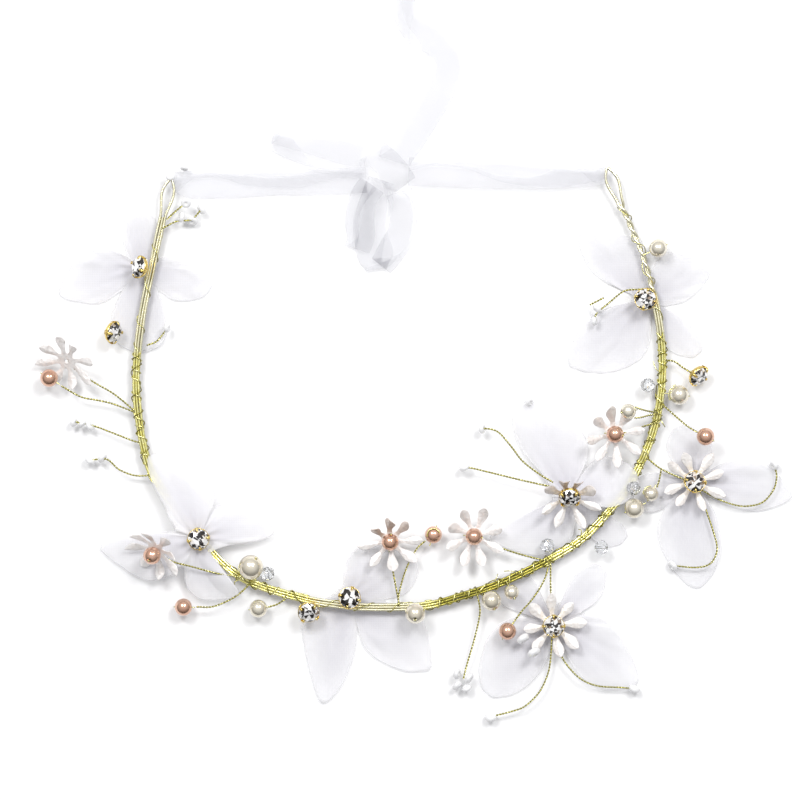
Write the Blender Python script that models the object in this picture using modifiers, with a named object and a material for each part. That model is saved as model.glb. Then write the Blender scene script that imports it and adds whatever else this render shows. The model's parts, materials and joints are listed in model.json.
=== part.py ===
"""Bridal hair vine: a gold wire crown with chiffon flowers, painted metal flowers, pearls and set stones.

It lies flat on a table, seen from above: +Z up, +Y towards the ribbon that ties it at the back of the head.
Sizes here are in millimetres, and MM turns them into Blender's metres.
"""

import math

import bmesh
import bpy
from mathutils import Matrix, Vector

MM = 0.001
TURN = 2 * math.pi

# The size of the crown, centre to centre of its wire
CROWN_WIDTH = 164.0
CROWN_DEPTH = 125.0

# The plan below is drawn at this size, and each place on it is laid on the crown of the size above
PLAN_WIDTH = 164.0
PLAN_DEPTH = 125.0

CLEARANCE = 0.35
CORE_WIRE_RADIUS = 0.45
CORE_SPREAD = 0.62
CORE_HEIGHT = 3.8
EYELET_HALF_WIDTH = 1.35
EYELET_LENGTH = 12.2
BINDING_RADIUS = 0.22
BINDING_SIDE = 1.85
BINDING_RISE = 1.3
WOUND_PITCH = 7.0
OPEN_PITCH = 14.0
POINTS_PER_TURN = 8
# Wound stretches, as distances along the plan's wire from its left side
WOUND_STRETCHES = ((-23.0, 9.0), (57.0, 78.0), (116.0, 184.0), (195.0, 238.0))
TWIG_RADIUS = 0.3
STAMEN_RADIUS = 0.24
SPRIG_START = BINDING_SIDE + BINDING_RADIUS + CLEARANCE
SEED_DIAMETER = 3.2
CRYSTAL_DIAMETER = 4.6
BORE_RADIUS = 0.68
ROSE_PEARL = 5.7
CUP_RADIUS = 3.7
CUP_SEAT = 2.6
STONE_HEIGHT = 3.3
CHIFFON_THICKNESS = 0.5
CHIFFON_HOLE = 0.95
METAL_FLOWER_RADIUS = 10.5
METAL_FLOWER_CUP = 1.3
METAL_THICKNESS = 0.4
METAL_HOLE = 0.95
METAL_PETALS = 8
RIBBON_THICKNESS = 1.0
# How far a wire's end stands out of a pearl, and how far it runs straight before one
WIRE_END = 0.7
WIRE_RUN_IN = 0.6
# Heights of the two blossoms that lie on the table
BLOSSOM_METAL_HEIGHT = 3.6
BLOSSOM_PIN_FOOT = 0.1
BLOSSOM_WIRE_HEIGHT = 2.2
# From a metal flower up to the stone on it, which stands clear of the raised petals
STONE_ON_METAL = 1.4
PEARL_STEPS = 10
STONE_STEPS = 8

# The wire from the left eyelet down, along the front and up to the right eyelet, on the plan
VINE_PLAN = (
    (-73.9, 57.0), (-76.9, 43.1), (-80.6, 24.7), (-82.2, 3.6), (-79.1, -17.8), (-73.4, -28.8),
    (-62.2, -43.4), (-49.6, -55.1), (-30.4, -61.8), (-10.6, -64.5), (7.7, -64.0), (18.4, -61.3),
    (31.2, -57.1), (46.7, -49.6), (57.3, -42.7), (66.4, -33.1), (72.8, -24.1), (79.7, -7.1),
    (81.8, 11.6), (79.9, 28.6), (75.6, 45.1), (68.8, 61.1),
)
LEFT_EYELET_TIP = (-71.3, 69.1)
RIGHT_EYELET_TIP = (64.5, 72.5)

# Groups of neighbouring pieces keep their own spacing when the crown's size changes
STATIONS = {
    "left_top": (-76.9, 43.1),
    "left_side": (-81.6, -9.2),
    "lower_left": (-62.2, -43.4),
    "bottom": (-10.6, -64.5),
    "front_right": (46.7, -49.6),
    "right_side": (79.7, -7.1),
    "right_top": (79.9, 28.6),
}


def smooth_points(points, per_span=8):
    """Points on the Catmull-Rom curve through the given ones."""
    vectors = [Vector(p) for p in points]
    padded = [2 * vectors[0] - vectors[1]] + vectors + [2 * vectors[-1] - vectors[-2]]
    found = []
    for a, b, c, d in zip(padded, padded[1:], padded[2:], padded[3:]):
        for step in range(per_span):
            t = step / per_span
            found.append(
                0.5 * (2 * b + (c - a) * t + (2 * a - 5 * b + 4 * c - d) * t**2 + (3 * b - a - 3 * c + d) * t**3)
            )
    return found + [vectors[-1]]


class Path:
    """A smooth path on the plan that is measured along its length."""

    def __init__(self, points):
        self.points = smooth_points(points)
        self.lengths = [0.0]
        for a, b in zip(self.points, self.points[1:]):
            self.lengths.append(self.lengths[-1] + (b - a).length)
        self.length = self.lengths[-1]

    def span(self, along):
        """The stretch that a distance along the path falls in, and how far into it."""
        index = 0
        while index < len(self.points) - 2 and self.lengths[index + 1] < along:
            index += 1
        return index, along - self.lengths[index]

    def tangent(self, along):
        index, _ = self.span(along)
        before = self.points[max(index - 1, 0)]
        after = self.points[min(index + 2, len(self.points) - 1)]
        return (after - before).normalized()

    def point(self, along):
        index, rest = self.span(along)
        step = (self.points[index + 1] - self.points[index]).normalized()
        return self.points[index] + step * rest

    def outward(self, along):
        tangent = self.tangent(along)
        return Vector((tangent.y, -tangent.x))

    def measure(self, place):
        """How far along the path and how far outside it a place is."""
        place = Vector(place)
        along = min(self.lengths, key=lambda s: (self.point(s) - place).length)
        for reach in (1.0, 0.25, 0.06):
            tries = [along + reach * step for step in range(-4, 5)]
            along = min(tries, key=lambda s: (self.point(s) - place).length)
        return along, (place - self.point(along)).dot(self.outward(along))


def sized(place):
    return (place[0] * CROWN_WIDTH / PLAN_WIDTH, place[1] * CROWN_DEPTH / PLAN_DEPTH)


plan_vine = Path(VINE_PLAN)
vine = Path([sized(place) for place in VINE_PLAN])


def along_and_across(x, y, station):
    """Where a place on the plan comes on the crown: along its wire and out from it."""
    along, across = plan_vine.measure((x, y))
    start, _ = plan_vine.measure(STATIONS[station])
    return start * vine.length / plan_vine.length + along - start, across


def lay(x, y, z, station):
    along, across = along_and_across(x, y, station)
    place = vine.point(along) + vine.outward(along) * across
    return Vector((place.x, place.y, z))


def on_vine(along, across, height=0.0):
    place = vine.point(along) + vine.outward(along) * across
    return Vector((place.x, place.y, CORE_HEIGHT + height))


def seat_height(across, radius):
    """The height at which a round piece of this radius rests against the bound wire."""
    reach = radius + BINDING_SIDE + BINDING_RADIUS + CLEARANCE
    rise = math.sqrt(max(reach**2 - across**2, 0.0))
    return max(CORE_HEIGHT + rise, radius + 1.8)


# Collections, finishes and the empty that carries the whole crown

for old in list(bpy.data.objects):
    bpy.data.objects.remove(old)

crown_parts = bpy.data.collections.new("flower_crown")
joining_parts = bpy.data.collections.new("joined_shapes")
bpy.context.scene.collection.children.link(crown_parts)
bpy.context.scene.collection.children.link(joining_parts)
joining_parts.hide_render = True
crown = bpy.data.objects.new("crown", None)
crown_parts.objects.link(crown)


def finish(name, color, roughness, metallic=0.0):
    material = bpy.data.materials.new(name)
    material.use_nodes = True
    shader = material.node_tree.nodes["Principled BSDF"]
    shader.inputs["Base Color"].default_value = (*color, 1.0)
    shader.inputs["Roughness"].default_value = roughness
    shader.inputs["Metallic"].default_value = metallic
    return material


GOLD = finish("gold_wire", (0.83, 0.74, 0.36), 0.3, 1.0)
CUP_GOLD = finish("cup_gold", (0.85, 0.62, 0.25), 0.25, 1.0)
CREAM = finish("cream_pearl", (0.9, 0.86, 0.76), 0.25)
ROSE = finish("rose_pearl", (0.83, 0.56, 0.45), 0.25)
CHIFFON = finish("chiffon", (0.93, 0.92, 0.95), 0.8)
PAINTED = finish("painted_petal", (0.93, 0.88, 0.84), 0.45)
ORGANZA = finish("organza", (0.95, 0.95, 0.98), 0.6)


def add_object(name, data, material):
    obj = bpy.data.objects.new(name, data)
    data.materials.append(material)
    crown_parts.objects.link(obj)
    obj.parent = crown
    return obj


def hang_on(pieces, hinge):
    """Hands pieces to the empty on their joint's axis, without moving them."""
    for piece in pieces:
        piece.parent = hinge
        piece.matrix_parent_inverse = hinge.matrix_basis.inverted()


def aim(place, axis):
    """The matrix that takes a piece made along +Z to a place and turns it along an axis."""
    turn = Vector((0, 0, 1)).rotation_difference(Vector(axis).normalized())
    return Matrix.Translation(Vector(place) * MM) @ turn.to_matrix().to_4x4()


def joint_empty(name, place, axis, parent):
    hinge = bpy.data.objects.new(name, None)
    crown_parts.objects.link(hinge)
    hinge.matrix_basis = aim(place, axis)
    hinge.empty_display_size = 5 * MM
    hinge.parent = parent
    if parent is not crown:
        hinge.matrix_parent_inverse = parent.matrix_basis.inverted()
    return hinge


# Wires


def wire_mesh(points, radius, sides_step=0, cyclic=False):
    """A closed mesh of a wire through the given points."""
    curve = bpy.data.curves.new("wire", "CURVE")
    curve.dimensions = "3D"
    curve.bevel_depth = radius * MM
    curve.bevel_resolution = sides_step
    curve.use_fill_caps = True
    spline = curve.splines.new("POLY")
    spline.points.add(len(points) - 1)
    for knot, place in zip(spline.points, points):
        knot.co = (*(Vector(place) * MM), 1.0)
    spline.use_cyclic_u = cyclic
    guide = bpy.data.objects.new("wire", curve)
    joining_parts.objects.link(guide)
    graph = bpy.context.evaluated_depsgraph_get()
    mesh = bpy.data.meshes.new_from_object(guide.evaluated_get(graph))
    bpy.data.objects.remove(guide)
    shape = bmesh.new()
    shape.from_mesh(mesh)
    bmesh.ops.remove_doubles(shape, verts=shape.verts, dist=0.00001)
    bmesh.ops.recalc_face_normals(shape, faces=shape.faces)
    shape.to_mesh(mesh)
    shape.free()
    return mesh


def bead_mesh(place, diameter):
    mesh = bpy.data.meshes.new("bead")
    shape = bmesh.new()
    matrix = Matrix.Translation(Vector(place) * MM)
    bmesh.ops.create_uvsphere(shape, u_segments=7, v_segments=5, radius=diameter / 2 * MM, matrix=matrix)
    shape.to_mesh(mesh)
    shape.free()
    return mesh


def joined(name, meshes, material):
    """One solid from meshes that meet: the others are united with the first one."""
    whole = add_object(name, meshes[0], material)
    if len(meshes) == 1:
        return whole
    others = bpy.data.collections.new(name + "_shapes")
    joining_parts.children.link(others)
    for count, mesh in enumerate(meshes[1:], start=1):
        helper = bpy.data.objects.new(f"{name}_shape_{count}", mesh)
        others.objects.link(helper)
        helper.parent = crown
        helper.hide_render = True
        helper.display_type = "WIRE"
    union = whole.modifiers.new("join", "BOOLEAN")
    union.operation = "UNION"
    union.operand_type = "COLLECTION"
    union.collection = others
    return whole


def eyelet(base, tip, side, count=6):
    """One side of a teardrop loop from the wires' end to its tip."""
    base, tip = Vector(base), Vector(tip)
    across = Vector(((tip - base).y, -(tip - base).x)).normalized()
    found = []
    for step in range(1, count + 1):
        share = step / count
        half = CORE_SPREAD * (1 - share) + EYELET_HALF_WIDTH * math.sin(math.pi * share**1.5)
        found.append(base.lerp(tip, share) + across * side * half)
    return [Vector((p.x, p.y, CORE_HEIGHT)) for p in found]


def core_points():
    """The folded core wire: out along one side, round the right eyelet, and back round the left one."""
    steps = 46
    alongs = [vine.length * step / steps for step in range(steps + 1)]
    outer = [on_vine(along, CORE_SPREAD) for along in alongs]
    inner = [on_vine(along, -CORE_SPREAD) for along in alongs]
    left = Vector(sized(LEFT_EYELET_TIP)) - Vector(sized(VINE_PLAN[0]))
    right = Vector(sized(RIGHT_EYELET_TIP)) - Vector(sized(VINE_PLAN[-1]))
    left_tip = vine.points[0] + left.normalized() * EYELET_LENGTH
    right_tip = vine.points[-1] + right.normalized() * EYELET_LENGTH
    right_out = eyelet(vine.points[-1], right_tip, 1.0)
    right_back = eyelet(vine.points[-1], right_tip, -1.0)[-2::-1]
    left_out = eyelet(vine.points[0], left_tip, 1.0)
    left_back = eyelet(vine.points[0], left_tip, -1.0)[-2::-1]
    return outer + right_out + right_back + inner[::-1] + left_out + left_back


def binding_turns():
    """(distance along, phase) of the binding wire: close turns on the wound stretches, open ones between."""
    along, phase = 1.0, 0.0
    found = []
    scale = vine.length / plan_vine.length
    start, _ = plan_vine.measure(STATIONS["left_side"])
    while along < vine.length - 1.0:
        found.append((along, phase))
        on_plan = along / scale - start
        wound = any(low < on_plan < high for low, high in WOUND_STRETCHES)
        along += (WOUND_PITCH if wound else OPEN_PITCH) / POINTS_PER_TURN
        phase += TURN / POINTS_PER_TURN
    return found


turns = binding_turns()


def turn_point(along, phase):
    return on_vine(along, BINDING_SIDE * math.cos(phase), BINDING_RISE * math.sin(phase))


SIDE_PHASE = {"outer": 0, "top": 2, "inner": 4}


def touch(along, side):
    """The point of the binding wire nearest a place where it crosses the outer side, inner side or top."""
    wanted = SIDE_PHASE[side]
    crossings = [turn for count, turn in enumerate(turns) if count % POINTS_PER_TURN == wanted]
    return turn_point(*min(crossings, key=lambda turn: abs(turn[0] - along)))


def route(points, per_span=3):
    return smooth_points(points, per_span)


def laid_route(places, station):
    return [lay(x, y, z, station) for x, y, z in places]


# Round pieces


def turned(name, profile, steps, material, matrix):
    """A turned piece from a profile that runs down its outer side, in its own frame."""
    mesh = bpy.data.meshes.new(name)
    closed_profile = profile[0][0] > 0
    edges = [(i, i + 1) for i in range(len(profile) - 1)]
    if closed_profile:
        edges.append((len(profile) - 1, 0))
    mesh.from_pydata([(r * MM, 0.0, z * MM) for r, z in profile], edges, [])
    piece = add_object(name, mesh, material)
    screw = piece.modifiers.new("turn", "SCREW")
    screw.steps = steps
    screw.render_steps = steps
    screw.use_merge_vertices = True
    screw.merge_threshold = 0.00001
    screw.use_smooth_shade = True
    piece.matrix_basis = matrix
    return piece


def pearl(name, place, axis, diameter, material):
    """A drilled pearl: a sphere with a straight bore."""
    radius = diameter / 2
    first = math.asin(BORE_RADIUS / radius)
    arc = 6
    angles = [first + (math.pi - 2 * first) * step / arc for step in range(arc + 1)]
    profile = [(radius * math.sin(a), radius * math.cos(a)) for a in angles]
    return turned(name, profile, PEARL_STEPS, material, aim(place, axis))


def set_stone(name, place, axis):
    """A stone held in its claw cup, standing on the middle of the cup's base."""
    profile = [
        (0.0, STONE_HEIGHT), (1.7, STONE_HEIGHT), (2.9, 2.3), (CUP_RADIUS - 0.2, 2.2),
        (CUP_RADIUS, 1.5), (CUP_SEAT, 0.0), (0.0, 0.0),
    ]
    return turned(name, profile, STONE_STEPS, CUP_GOLD, aim(place, axis))


# Flowers


def flower_sheet(name, outline, hole, centre_z, thickness, material, matrix):
    """A flower cut from one sheet: a band from the stem hole to the outline, thickened upwards."""
    count = len(outline)
    ring = []
    for x, y, _ in outline:
        angle = math.atan2(y, x)
        ring.append((hole * math.cos(angle), hole * math.sin(angle), centre_z))
    mesh = bpy.data.meshes.new(name)
    places = [tuple(c * MM for c in p) for p in ring + outline]
    faces = [(i, count + i, count + (i + 1) % count, (i + 1) % count) for i in range(count)]
    mesh.from_pydata(places, [], faces)
    flower = add_object(name, mesh, material)
    flower.matrix_basis = matrix
    solid = flower.modifiers.new("sheet", "SOLIDIFY")
    solid.thickness = thickness * MM
    solid.offset = 1.0
    solid.use_even_offset = False
    return flower


def metal_outline():
    """Eight narrow petals that lift towards their tips."""
    valley, shoulder, shoulder_turn = 3.4, 8.3, math.radians(9.0)
    found = []
    for petal in range(METAL_PETALS):
        middle = TURN * petal / METAL_PETALS
        low = middle - TURN / METAL_PETALS / 2
        marks = (
            (low, valley), (middle - shoulder_turn, shoulder),
            (middle, METAL_FLOWER_RADIUS), (middle + shoulder_turn, shoulder),
        )
        for angle, reach in marks:
            lift = METAL_FLOWER_CUP * (reach / METAL_FLOWER_RADIUS) ** 2
            found.append((reach * math.cos(angle), reach * math.sin(angle), lift))
    return found


def metal_flower(name, place, axis, turn=0.0):
    """A metal flower, turned about its own axis by so many degrees."""
    matrix = aim(place, axis) @ Matrix.Rotation(math.radians(turn), 4, "Z")
    return flower_sheet(name, metal_outline(), METAL_HOLE, 0.0, METAL_THICKNESS, PAINTED, matrix)


def petal_reach(turn, length, spread):
    return length * max(math.cos(0.5 * math.pi * min(abs(turn) / spread, 1.0)), 0.0) ** 0.55


def chiffon_outline(centre, petals, valley):
    """Broad pointed petals round the centre. Each petal is its tip and its spread in degrees."""
    aims = []
    for x, y, z, spread in petals:
        away = Vector((x, y, 0)) - Vector((centre.x, centre.y, 0))
        aims.append((math.atan2(away.y, away.x), away.length, z, math.radians(spread)))
    aims.sort()
    found = []
    for index, (angle, length, z, spread) in enumerate(aims):
        following = aims[(index + 1) % len(aims)][0]
        gap = (following - angle) % TURN
        for share in (-0.72, -0.4, 0.0, 0.4, 0.72):
            reach = petal_reach(share * spread, length, spread)
            found.append((angle + share * spread, reach, z))
        found.append((angle + gap / 2, valley, None))
    found.sort()
    rim = []
    longest = max(aim[1] for aim in aims)
    for angle, reach, z in found:
        if z is None:
            height = centre.z
        else:
            height = centre.z + (z - centre.z) * min(reach / longest, 1.0)
        rim.append((reach * math.cos(angle), reach * math.sin(angle), height))
    return rim


def chiffon_flower(name, centre, petals, station, valley=6.0):
    middle = lay(*centre, station)
    tips = [(*lay(x, y, z, station), spread) for x, y, z, spread in petals]
    rim = chiffon_outline(middle, tips, valley)
    matrix = Matrix.Translation(Vector((middle.x, middle.y, 0)) * MM)
    return flower_sheet(name, rim, CHIFFON_HOLE, middle.z, CHIFFON_THICKNESS, CHIFFON, matrix)


# The wire frame: a folded core and the binding wire with the twigs that are twisted from it

add_object("core_wire", wire_mesh(core_points(), CORE_WIRE_RADIUS, 1, cyclic=True), GOLD)

UP = Vector((0, 0, 1))
binding_shapes = [wire_mesh([turn_point(*turn) for turn in turns], BINDING_RADIUS)]


def threaded_pearl(name, x, y, diameter, station, side):
    """A cream pearl that is pulled tight against the vine, on a stub of the binding wire."""
    along, across = along_and_across(x, y, station)
    radius = diameter / 2
    centre = lay(x, y, seat_height(across, radius), station)
    start = touch(along, side)
    away = (centre - start).normalized()
    binding_shapes.append(wire_mesh([start, centre, centre + away * (radius + WIRE_END)], TWIG_RADIUS))
    return pearl(name, centre, away, diameter, CREAM)


def bead_twig(places, station, side, radius=TWIG_RADIUS, beads=(SEED_DIAMETER,)):
    """A fixed twig of the binding wire with beads at its last places."""
    path = laid_route(places, station)
    along, _ = along_and_across(places[0][0], places[0][1], station)
    start = touch(along, side)
    binding_shapes.append(wire_mesh(route([start] + path), radius))
    for place, diameter in zip(path[-len(beads):], beads):
        binding_shapes.append(bead_mesh(place, diameter))


FIXED_PEARLS = (
    ("cream_pearl_1", -46.3, -51.9, 8.0, "lower_left", "inner"),
    ("cream_pearl_3", 4.7, -66.3, 6.6, "bottom", "outer"),
    ("cream_pearl_4", 28.4, -62.4, 6.4, "front_right", "outer"),
    ("cream_pearl_5", 34.7, -59.8, 4.8, "front_right", "outer"),
    ("cream_pearl_9", 86.9, 1.6, 6.4, "right_side", "outer"),
    ("cream_pearl_10", 80.4, 47.2, 6.0, "right_top", "outer"),
)
for pearl_row in FIXED_PEARLS:
    threaded_pearl(*pearl_row)

CRYSTALS = (
    (-41.2, -54.0, "lower_left", "inner"),
    (77.0, 4.6, "right_side", "inner"),
    (62.3, -46.6, "front_right", "outer"),
    (45.6, -45.0, "front_right", "inner"),
)
for x, y, station, side in CRYSTALS:
    along, across = along_and_across(x, y, station)
    height = seat_height(across, CRYSTAL_DIAMETER / 2)
    bead_twig(((x, y, height),), station, side, beads=(CRYSTAL_DIAMETER,))

# Fixed twigs with seed beads: at the left eyelet, beside the upper left flower, and inside the right one
bead_twig(((-71.0, 57.0, 5.0), (-66.6, 61.3, 5.5)), "left_top", "inner")
bead_twig(((-71.4, 55.0, 4.4), (-67.4, 56.9, 4.0), (-62.9, 59.0, 4.0)), "left_top", "inner",
          beads=(SEED_DIAMETER, SEED_DIAMETER))
bead_twig(((-76.0, 19.5, 4.4), (-72.5, 22.5, 5.0)), "left_top", "inner")
bead_twig(((75.0, 33.8, 5.0), (69.8, 36.0, 5.4), (65.2, 33.0, 5.2), (61.3, 28.4, 4.6)), "right_top", "inner")

# Stalks of stones on the vine's side, each ending under its claw cup


def standing_stone(name, x, y, base, station, side, lean=(0.0, 0.0)):
    """A set stone on a post of the binding wire that comes up through the middle of what lies under it."""
    along, across = along_and_across(x, y, station)
    foot = lay(x, y, base, station)
    axis = Vector((*lean, 1.0)).normalized()
    start = touch(along, side)
    below = foot - axis * (CLEARANCE + 0.1)
    if side == "top":
        run = start.z + BINDING_RADIUS + CLEARANCE + TWIG_RADIUS
        path = [start, Vector((start.x, start.y, run)), Vector((foot.x, foot.y, run)), below]
    else:
        path = [start, Vector((foot.x, foot.y, start.z)), below]
    binding_shapes.append(wire_mesh(path, TWIG_RADIUS))
    return set_stone(name, foot, axis)


# Chiffon flowers under the wire lie on the table, and the others are carried on top of it
FLAT = 0.0
OVER = CORE_HEIGHT + BINDING_RISE + BINDING_RADIUS + CLEARANCE

chiffon_flower("chiffon_flower_1", (-81.3, 41.3, FLAT), (
    (-81.3, 61.3, FLAT, 42), (-106.6, 32.8, FLAT, 32), (-58.8, 33.8, FLAT, 38), (-81.3, 15.3, FLAT, 36),
), "left_top")
chiffon_flower("chiffon_flower_2", (-62.5, -43.1, OVER + 1.3), (
    (-78.1, -17.2, OVER + 1.0, 34), (-39.4, -41.3, 3.4, 30), (-93.1, -46.9, 1.4, 26), (-59.6, -59.4, 3.0, 28),
), "lower_left")
chiffon_flower("chiffon_flower_3", (-15.6, -61.6, FLAT), (
    (-24.4, -94.0, FLAT, 34), (7.8, -84.4, FLAT, 34), (-1.6, -44.4, FLAT, 46),
), "bottom")
chiffon_flower("chiffon_flower_4", (52.5, -30.3, OVER), (
    (42.2, -2.0, 1.4, 34), (70.6, -21.9, OVER + 0.4, 34), (27.8, -42.2, 2.2, 26), (66.6, -43.4, OVER + 0.6, 26),
), "front_right")
chiffon_flower("chiffon_flower_7", (76.3, 31.3, FLAT), (
    (56.9, 50.9, FLAT, 36), (96.3, 40.3, FLAT, 36), (93.8, 15.6, FLAT, 32), (54.7, 9.4, FLAT, 34),
), "right_top")

STONE_OVER = OVER + 0.9
standing_stone("set_stone_1", -80.4, 41.3, STONE_OVER, "left_top", "outer", (-0.35, 0.0))
standing_stone("set_stone_2", -89.7, 21.3, 5.6, "left_top", "outer", (0.45, -0.2))
standing_stone("set_stone_3", -62.5, -43.1, STONE_OVER + 1.5, "lower_left", "top")
standing_stone("set_stone_4", -28.8, -65.5, STONE_OVER, "bottom", "outer", (0.3, -0.3))
standing_stone("set_stone_5", -15.6, -61.4, STONE_OVER, "bottom", "inner")
standing_stone("set_stone_9", 76.2, 31.3, STONE_OVER, "right_top", "inner")

# The inner right blossom: chiffon, then a metal flower and a set stone, with two long stamens
BLOSSOM_STAMEN = OVER + 1.3
BLOSSOM_METAL = OVER + 2.2
BLOSSOM_STONE = BLOSSOM_METAL + STONE_ON_METAL
inner_centre = lay(52.5, -30.3, 0.0, "front_right")
inner_along, _ = along_and_across(57.3, -38.7, "front_right")
inner_start = touch(inner_along, "inner")
inner_low = Vector((inner_centre.x, inner_centre.y, CORE_HEIGHT))
inner_top = Vector((inner_centre.x, inner_centre.y, BLOSSOM_STONE - CLEARANCE))
binding_shapes.append(wire_mesh([inner_start, inner_low, inner_top], TWIG_RADIUS))
metal_flower("metal_flower_6", (inner_centre.x, inner_centre.y, BLOSSOM_METAL), UP)
set_stone("set_stone_6", (inner_centre.x, inner_centre.y, BLOSSOM_STONE), UP)
INNER_STAMENS = (
    ((48.1, -26.9, 7.0), (38.1, -25.0, 6.2), (30.3, -23.1, 5.4), (22.8, -21.3, 4.7), (20.0, -20.9, 4.4)),
    ((48.0, -25.0, 7.1), (38.1, -19.4, 6.2), (33.0, -12.6, 5.4), (28.4, -9.4, 4.8), (25.6, -8.9, 4.6)),
)
for stamen in INNER_STAMENS:
    path = laid_route(stamen, "front_right")
    root = Vector((inner_centre.x, inner_centre.y, BLOSSOM_STAMEN))
    binding_shapes.append(wire_mesh(route([root] + path, 2), STAMEN_RADIUS))
    binding_shapes.append(bead_mesh(path[-1], SEED_DIAMETER))

# A cream pearl on its own short stalk, free to spin
stalk_along, _ = along_and_across(-34.7, -61.8, "lower_left")
stalk_pearl = lay(-44.1, -64.9, 5.2, "lower_left")
stalk_start = touch(stalk_along, "outer")
stalk_bend = lay(-38.2, -64.2, 4.6, "lower_left")
stalk_axis = (stalk_pearl - stalk_bend).normalized()
binding_shapes.append(
    wire_mesh([stalk_start, stalk_bend, stalk_pearl, stalk_pearl + stalk_axis * 3.6], TWIG_RADIUS)
)
spin = joint_empty("joint_spin_cream_pearl_2", stalk_pearl, stalk_axis, crown)
hang_on([pearl("cream_pearl_2", stalk_pearl, stalk_axis, 5.8, CREAM)], spin)

joined("binding_wire", binding_shapes, GOLD)


# Free sprigs: each is a twisted wire that bends where it leaves the vine


class Sprig:
    """A wire that leaves the vine at one place, with what it carries, and the hinge where it bends."""

    def __init__(self, name, x, y, station, side):
        self.name = name
        self.station = station
        self.side = side
        along, _ = along_and_across(x, y, station)
        self.root = on_vine(along, SPRIG_START * side)
        self.meshes = []
        self.pieces = []
        tangent = vine.tangent(along) * -side
        self.hinge = joint_empty("joint_bend_" + name, on_vine(along, 0.0), (tangent.x, tangent.y, 0), crown)

    def place(self, x, y, z):
        return lay(x, y, z, self.station)

    def wire(self, points, radius=TWIG_RADIUS, per_span=3, straight=()):
        """A wire through points, with a straight run at its end where it passes through a piece."""
        self.meshes.append(wire_mesh(route(points, per_span) + list(straight), radius))

    def bead(self, place, diameter=SEED_DIAMETER):
        self.meshes.append(bead_mesh(place, diameter))

    def spin_pearl(self, name, centre, axis, diameter, material):
        """A pearl that turns on the wire through its bore."""
        spin = joint_empty("joint_spin_" + name, centre, axis, self.hinge)
        hang_on([pearl(name, centre, axis, diameter, material)], spin)

    def finish(self):
        self.pieces.append(joined(self.name, self.meshes, GOLD))
        hang_on(self.pieces, self.hinge)


def pearl_on_end(sprig, name, before, centre, diameter, material):
    """The wire's last stretch runs straight through the pearl's bore."""
    axis = (centre - before).normalized()
    reach = diameter / 2
    sprig.spin_pearl(name, centre, axis, diameter, material)
    return [centre - axis * (reach + WIRE_RUN_IN), centre + axis * (reach + WIRE_END)]


def flower_on_end(sprig, number, base, axis, pearl_name=None, turn=0.0):
    """A metal flower on the wire's straight end, with a rose pearl in its middle or just the wire's tip."""
    axis = Vector(axis).normalized()
    sprig.pieces.append(metal_flower(f"metal_flower_{number}", base, axis, turn))
    if pearl_name is None:
        return [base - axis * 1.2, base + axis * 1.6]
    centre = base + axis * (METAL_THICKNESS + 0.5 + ROSE_PEARL / 2)
    sprig.pieces.append(pearl(pearl_name, centre, axis, ROSE_PEARL, ROSE))
    return [base - axis * 1.2, centre + axis * (ROSE_PEARL / 2 + 0.6)]


def blossom(sprig, number, centre, petals):
    """A chiffon flower on the table with a metal flower and a set stone above it, on one upright pin."""
    sprig.pieces.append(chiffon_flower(f"chiffon_flower_{number}", (*centre, FLAT), petals, sprig.station))
    middle = sprig.place(*centre, 0.0)
    stone = BLOSSOM_METAL_HEIGHT + STONE_ON_METAL
    flower_number = {5: 7, 6: 8}[number]
    sprig.pieces.append(metal_flower(f"metal_flower_{flower_number}", (middle.x, middle.y, BLOSSOM_METAL_HEIGHT), UP))
    sprig.pieces.append(set_stone(f"set_stone_{flower_number}", (middle.x, middle.y, stone), UP))
    low = Vector((middle.x, middle.y, BLOSSOM_PIN_FOOT))
    high = Vector((middle.x, middle.y, stone - CLEARANCE))
    sprig.meshes.append(wire_mesh([low, high], TWIG_RADIUS))
    return Vector((middle.x, middle.y, BLOSSOM_WIRE_HEIGHT))


# Left side: a bloom with a rose pearl beside it, and two bud sprigs
side_bloom = Sprig("sprig_bloom_left", -83.1, -3.4, "left_side", 1.0)
bloom_base = side_bloom.place(-103.4, 12.5, 7.0)
straight = flower_on_end(side_bloom, 1, bloom_base, (-0.35, -0.55, 0.8))
fork = side_bloom.place(-90.0, 1.0, 4.2)
side_bloom.wire([side_bloom.root, fork, side_bloom.place(-96.5, 7.0, 4.6)], straight=straight)
rose_1 = side_bloom.place(-109.1, 6.4, 6.4)
before = side_bloom.place(-98.6, 0.4, 5.0)
straight = pearl_on_end(side_bloom, "rose_pearl_1", before, rose_1, ROSE_PEARL, ROSE)
side_bloom.wire([fork, before], straight=straight)
side_bloom.finish()

bud_upper = Sprig("sprig_buds_left_upper", -82.5, -12.8, "left_side", 1.0)
ends = [bud_upper.place(-96.9, -8.1, 3.6), bud_upper.place(-101.4, -6.9, 3.4)]
bud_upper.wire([bud_upper.root, bud_upper.place(-89.1, -10.6, 4.0)] + ends)
for end in ends:
    bud_upper.bead(end)
bud_upper.finish()

bud_lower = Sprig("sprig_buds_left_lower", -79.4, -21.3, "left_side", 1.0)
ends = [bud_lower.place(-92.7, -18.0, 3.6), bud_lower.place(-96.6, -18.8, 3.4)]
bud_lower.wire([bud_lower.root, bud_lower.place(-86.9, -21.9, 3.9)] + ends)
for end in ends:
    bud_lower.bead(end)
bud_lower.finish()

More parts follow.
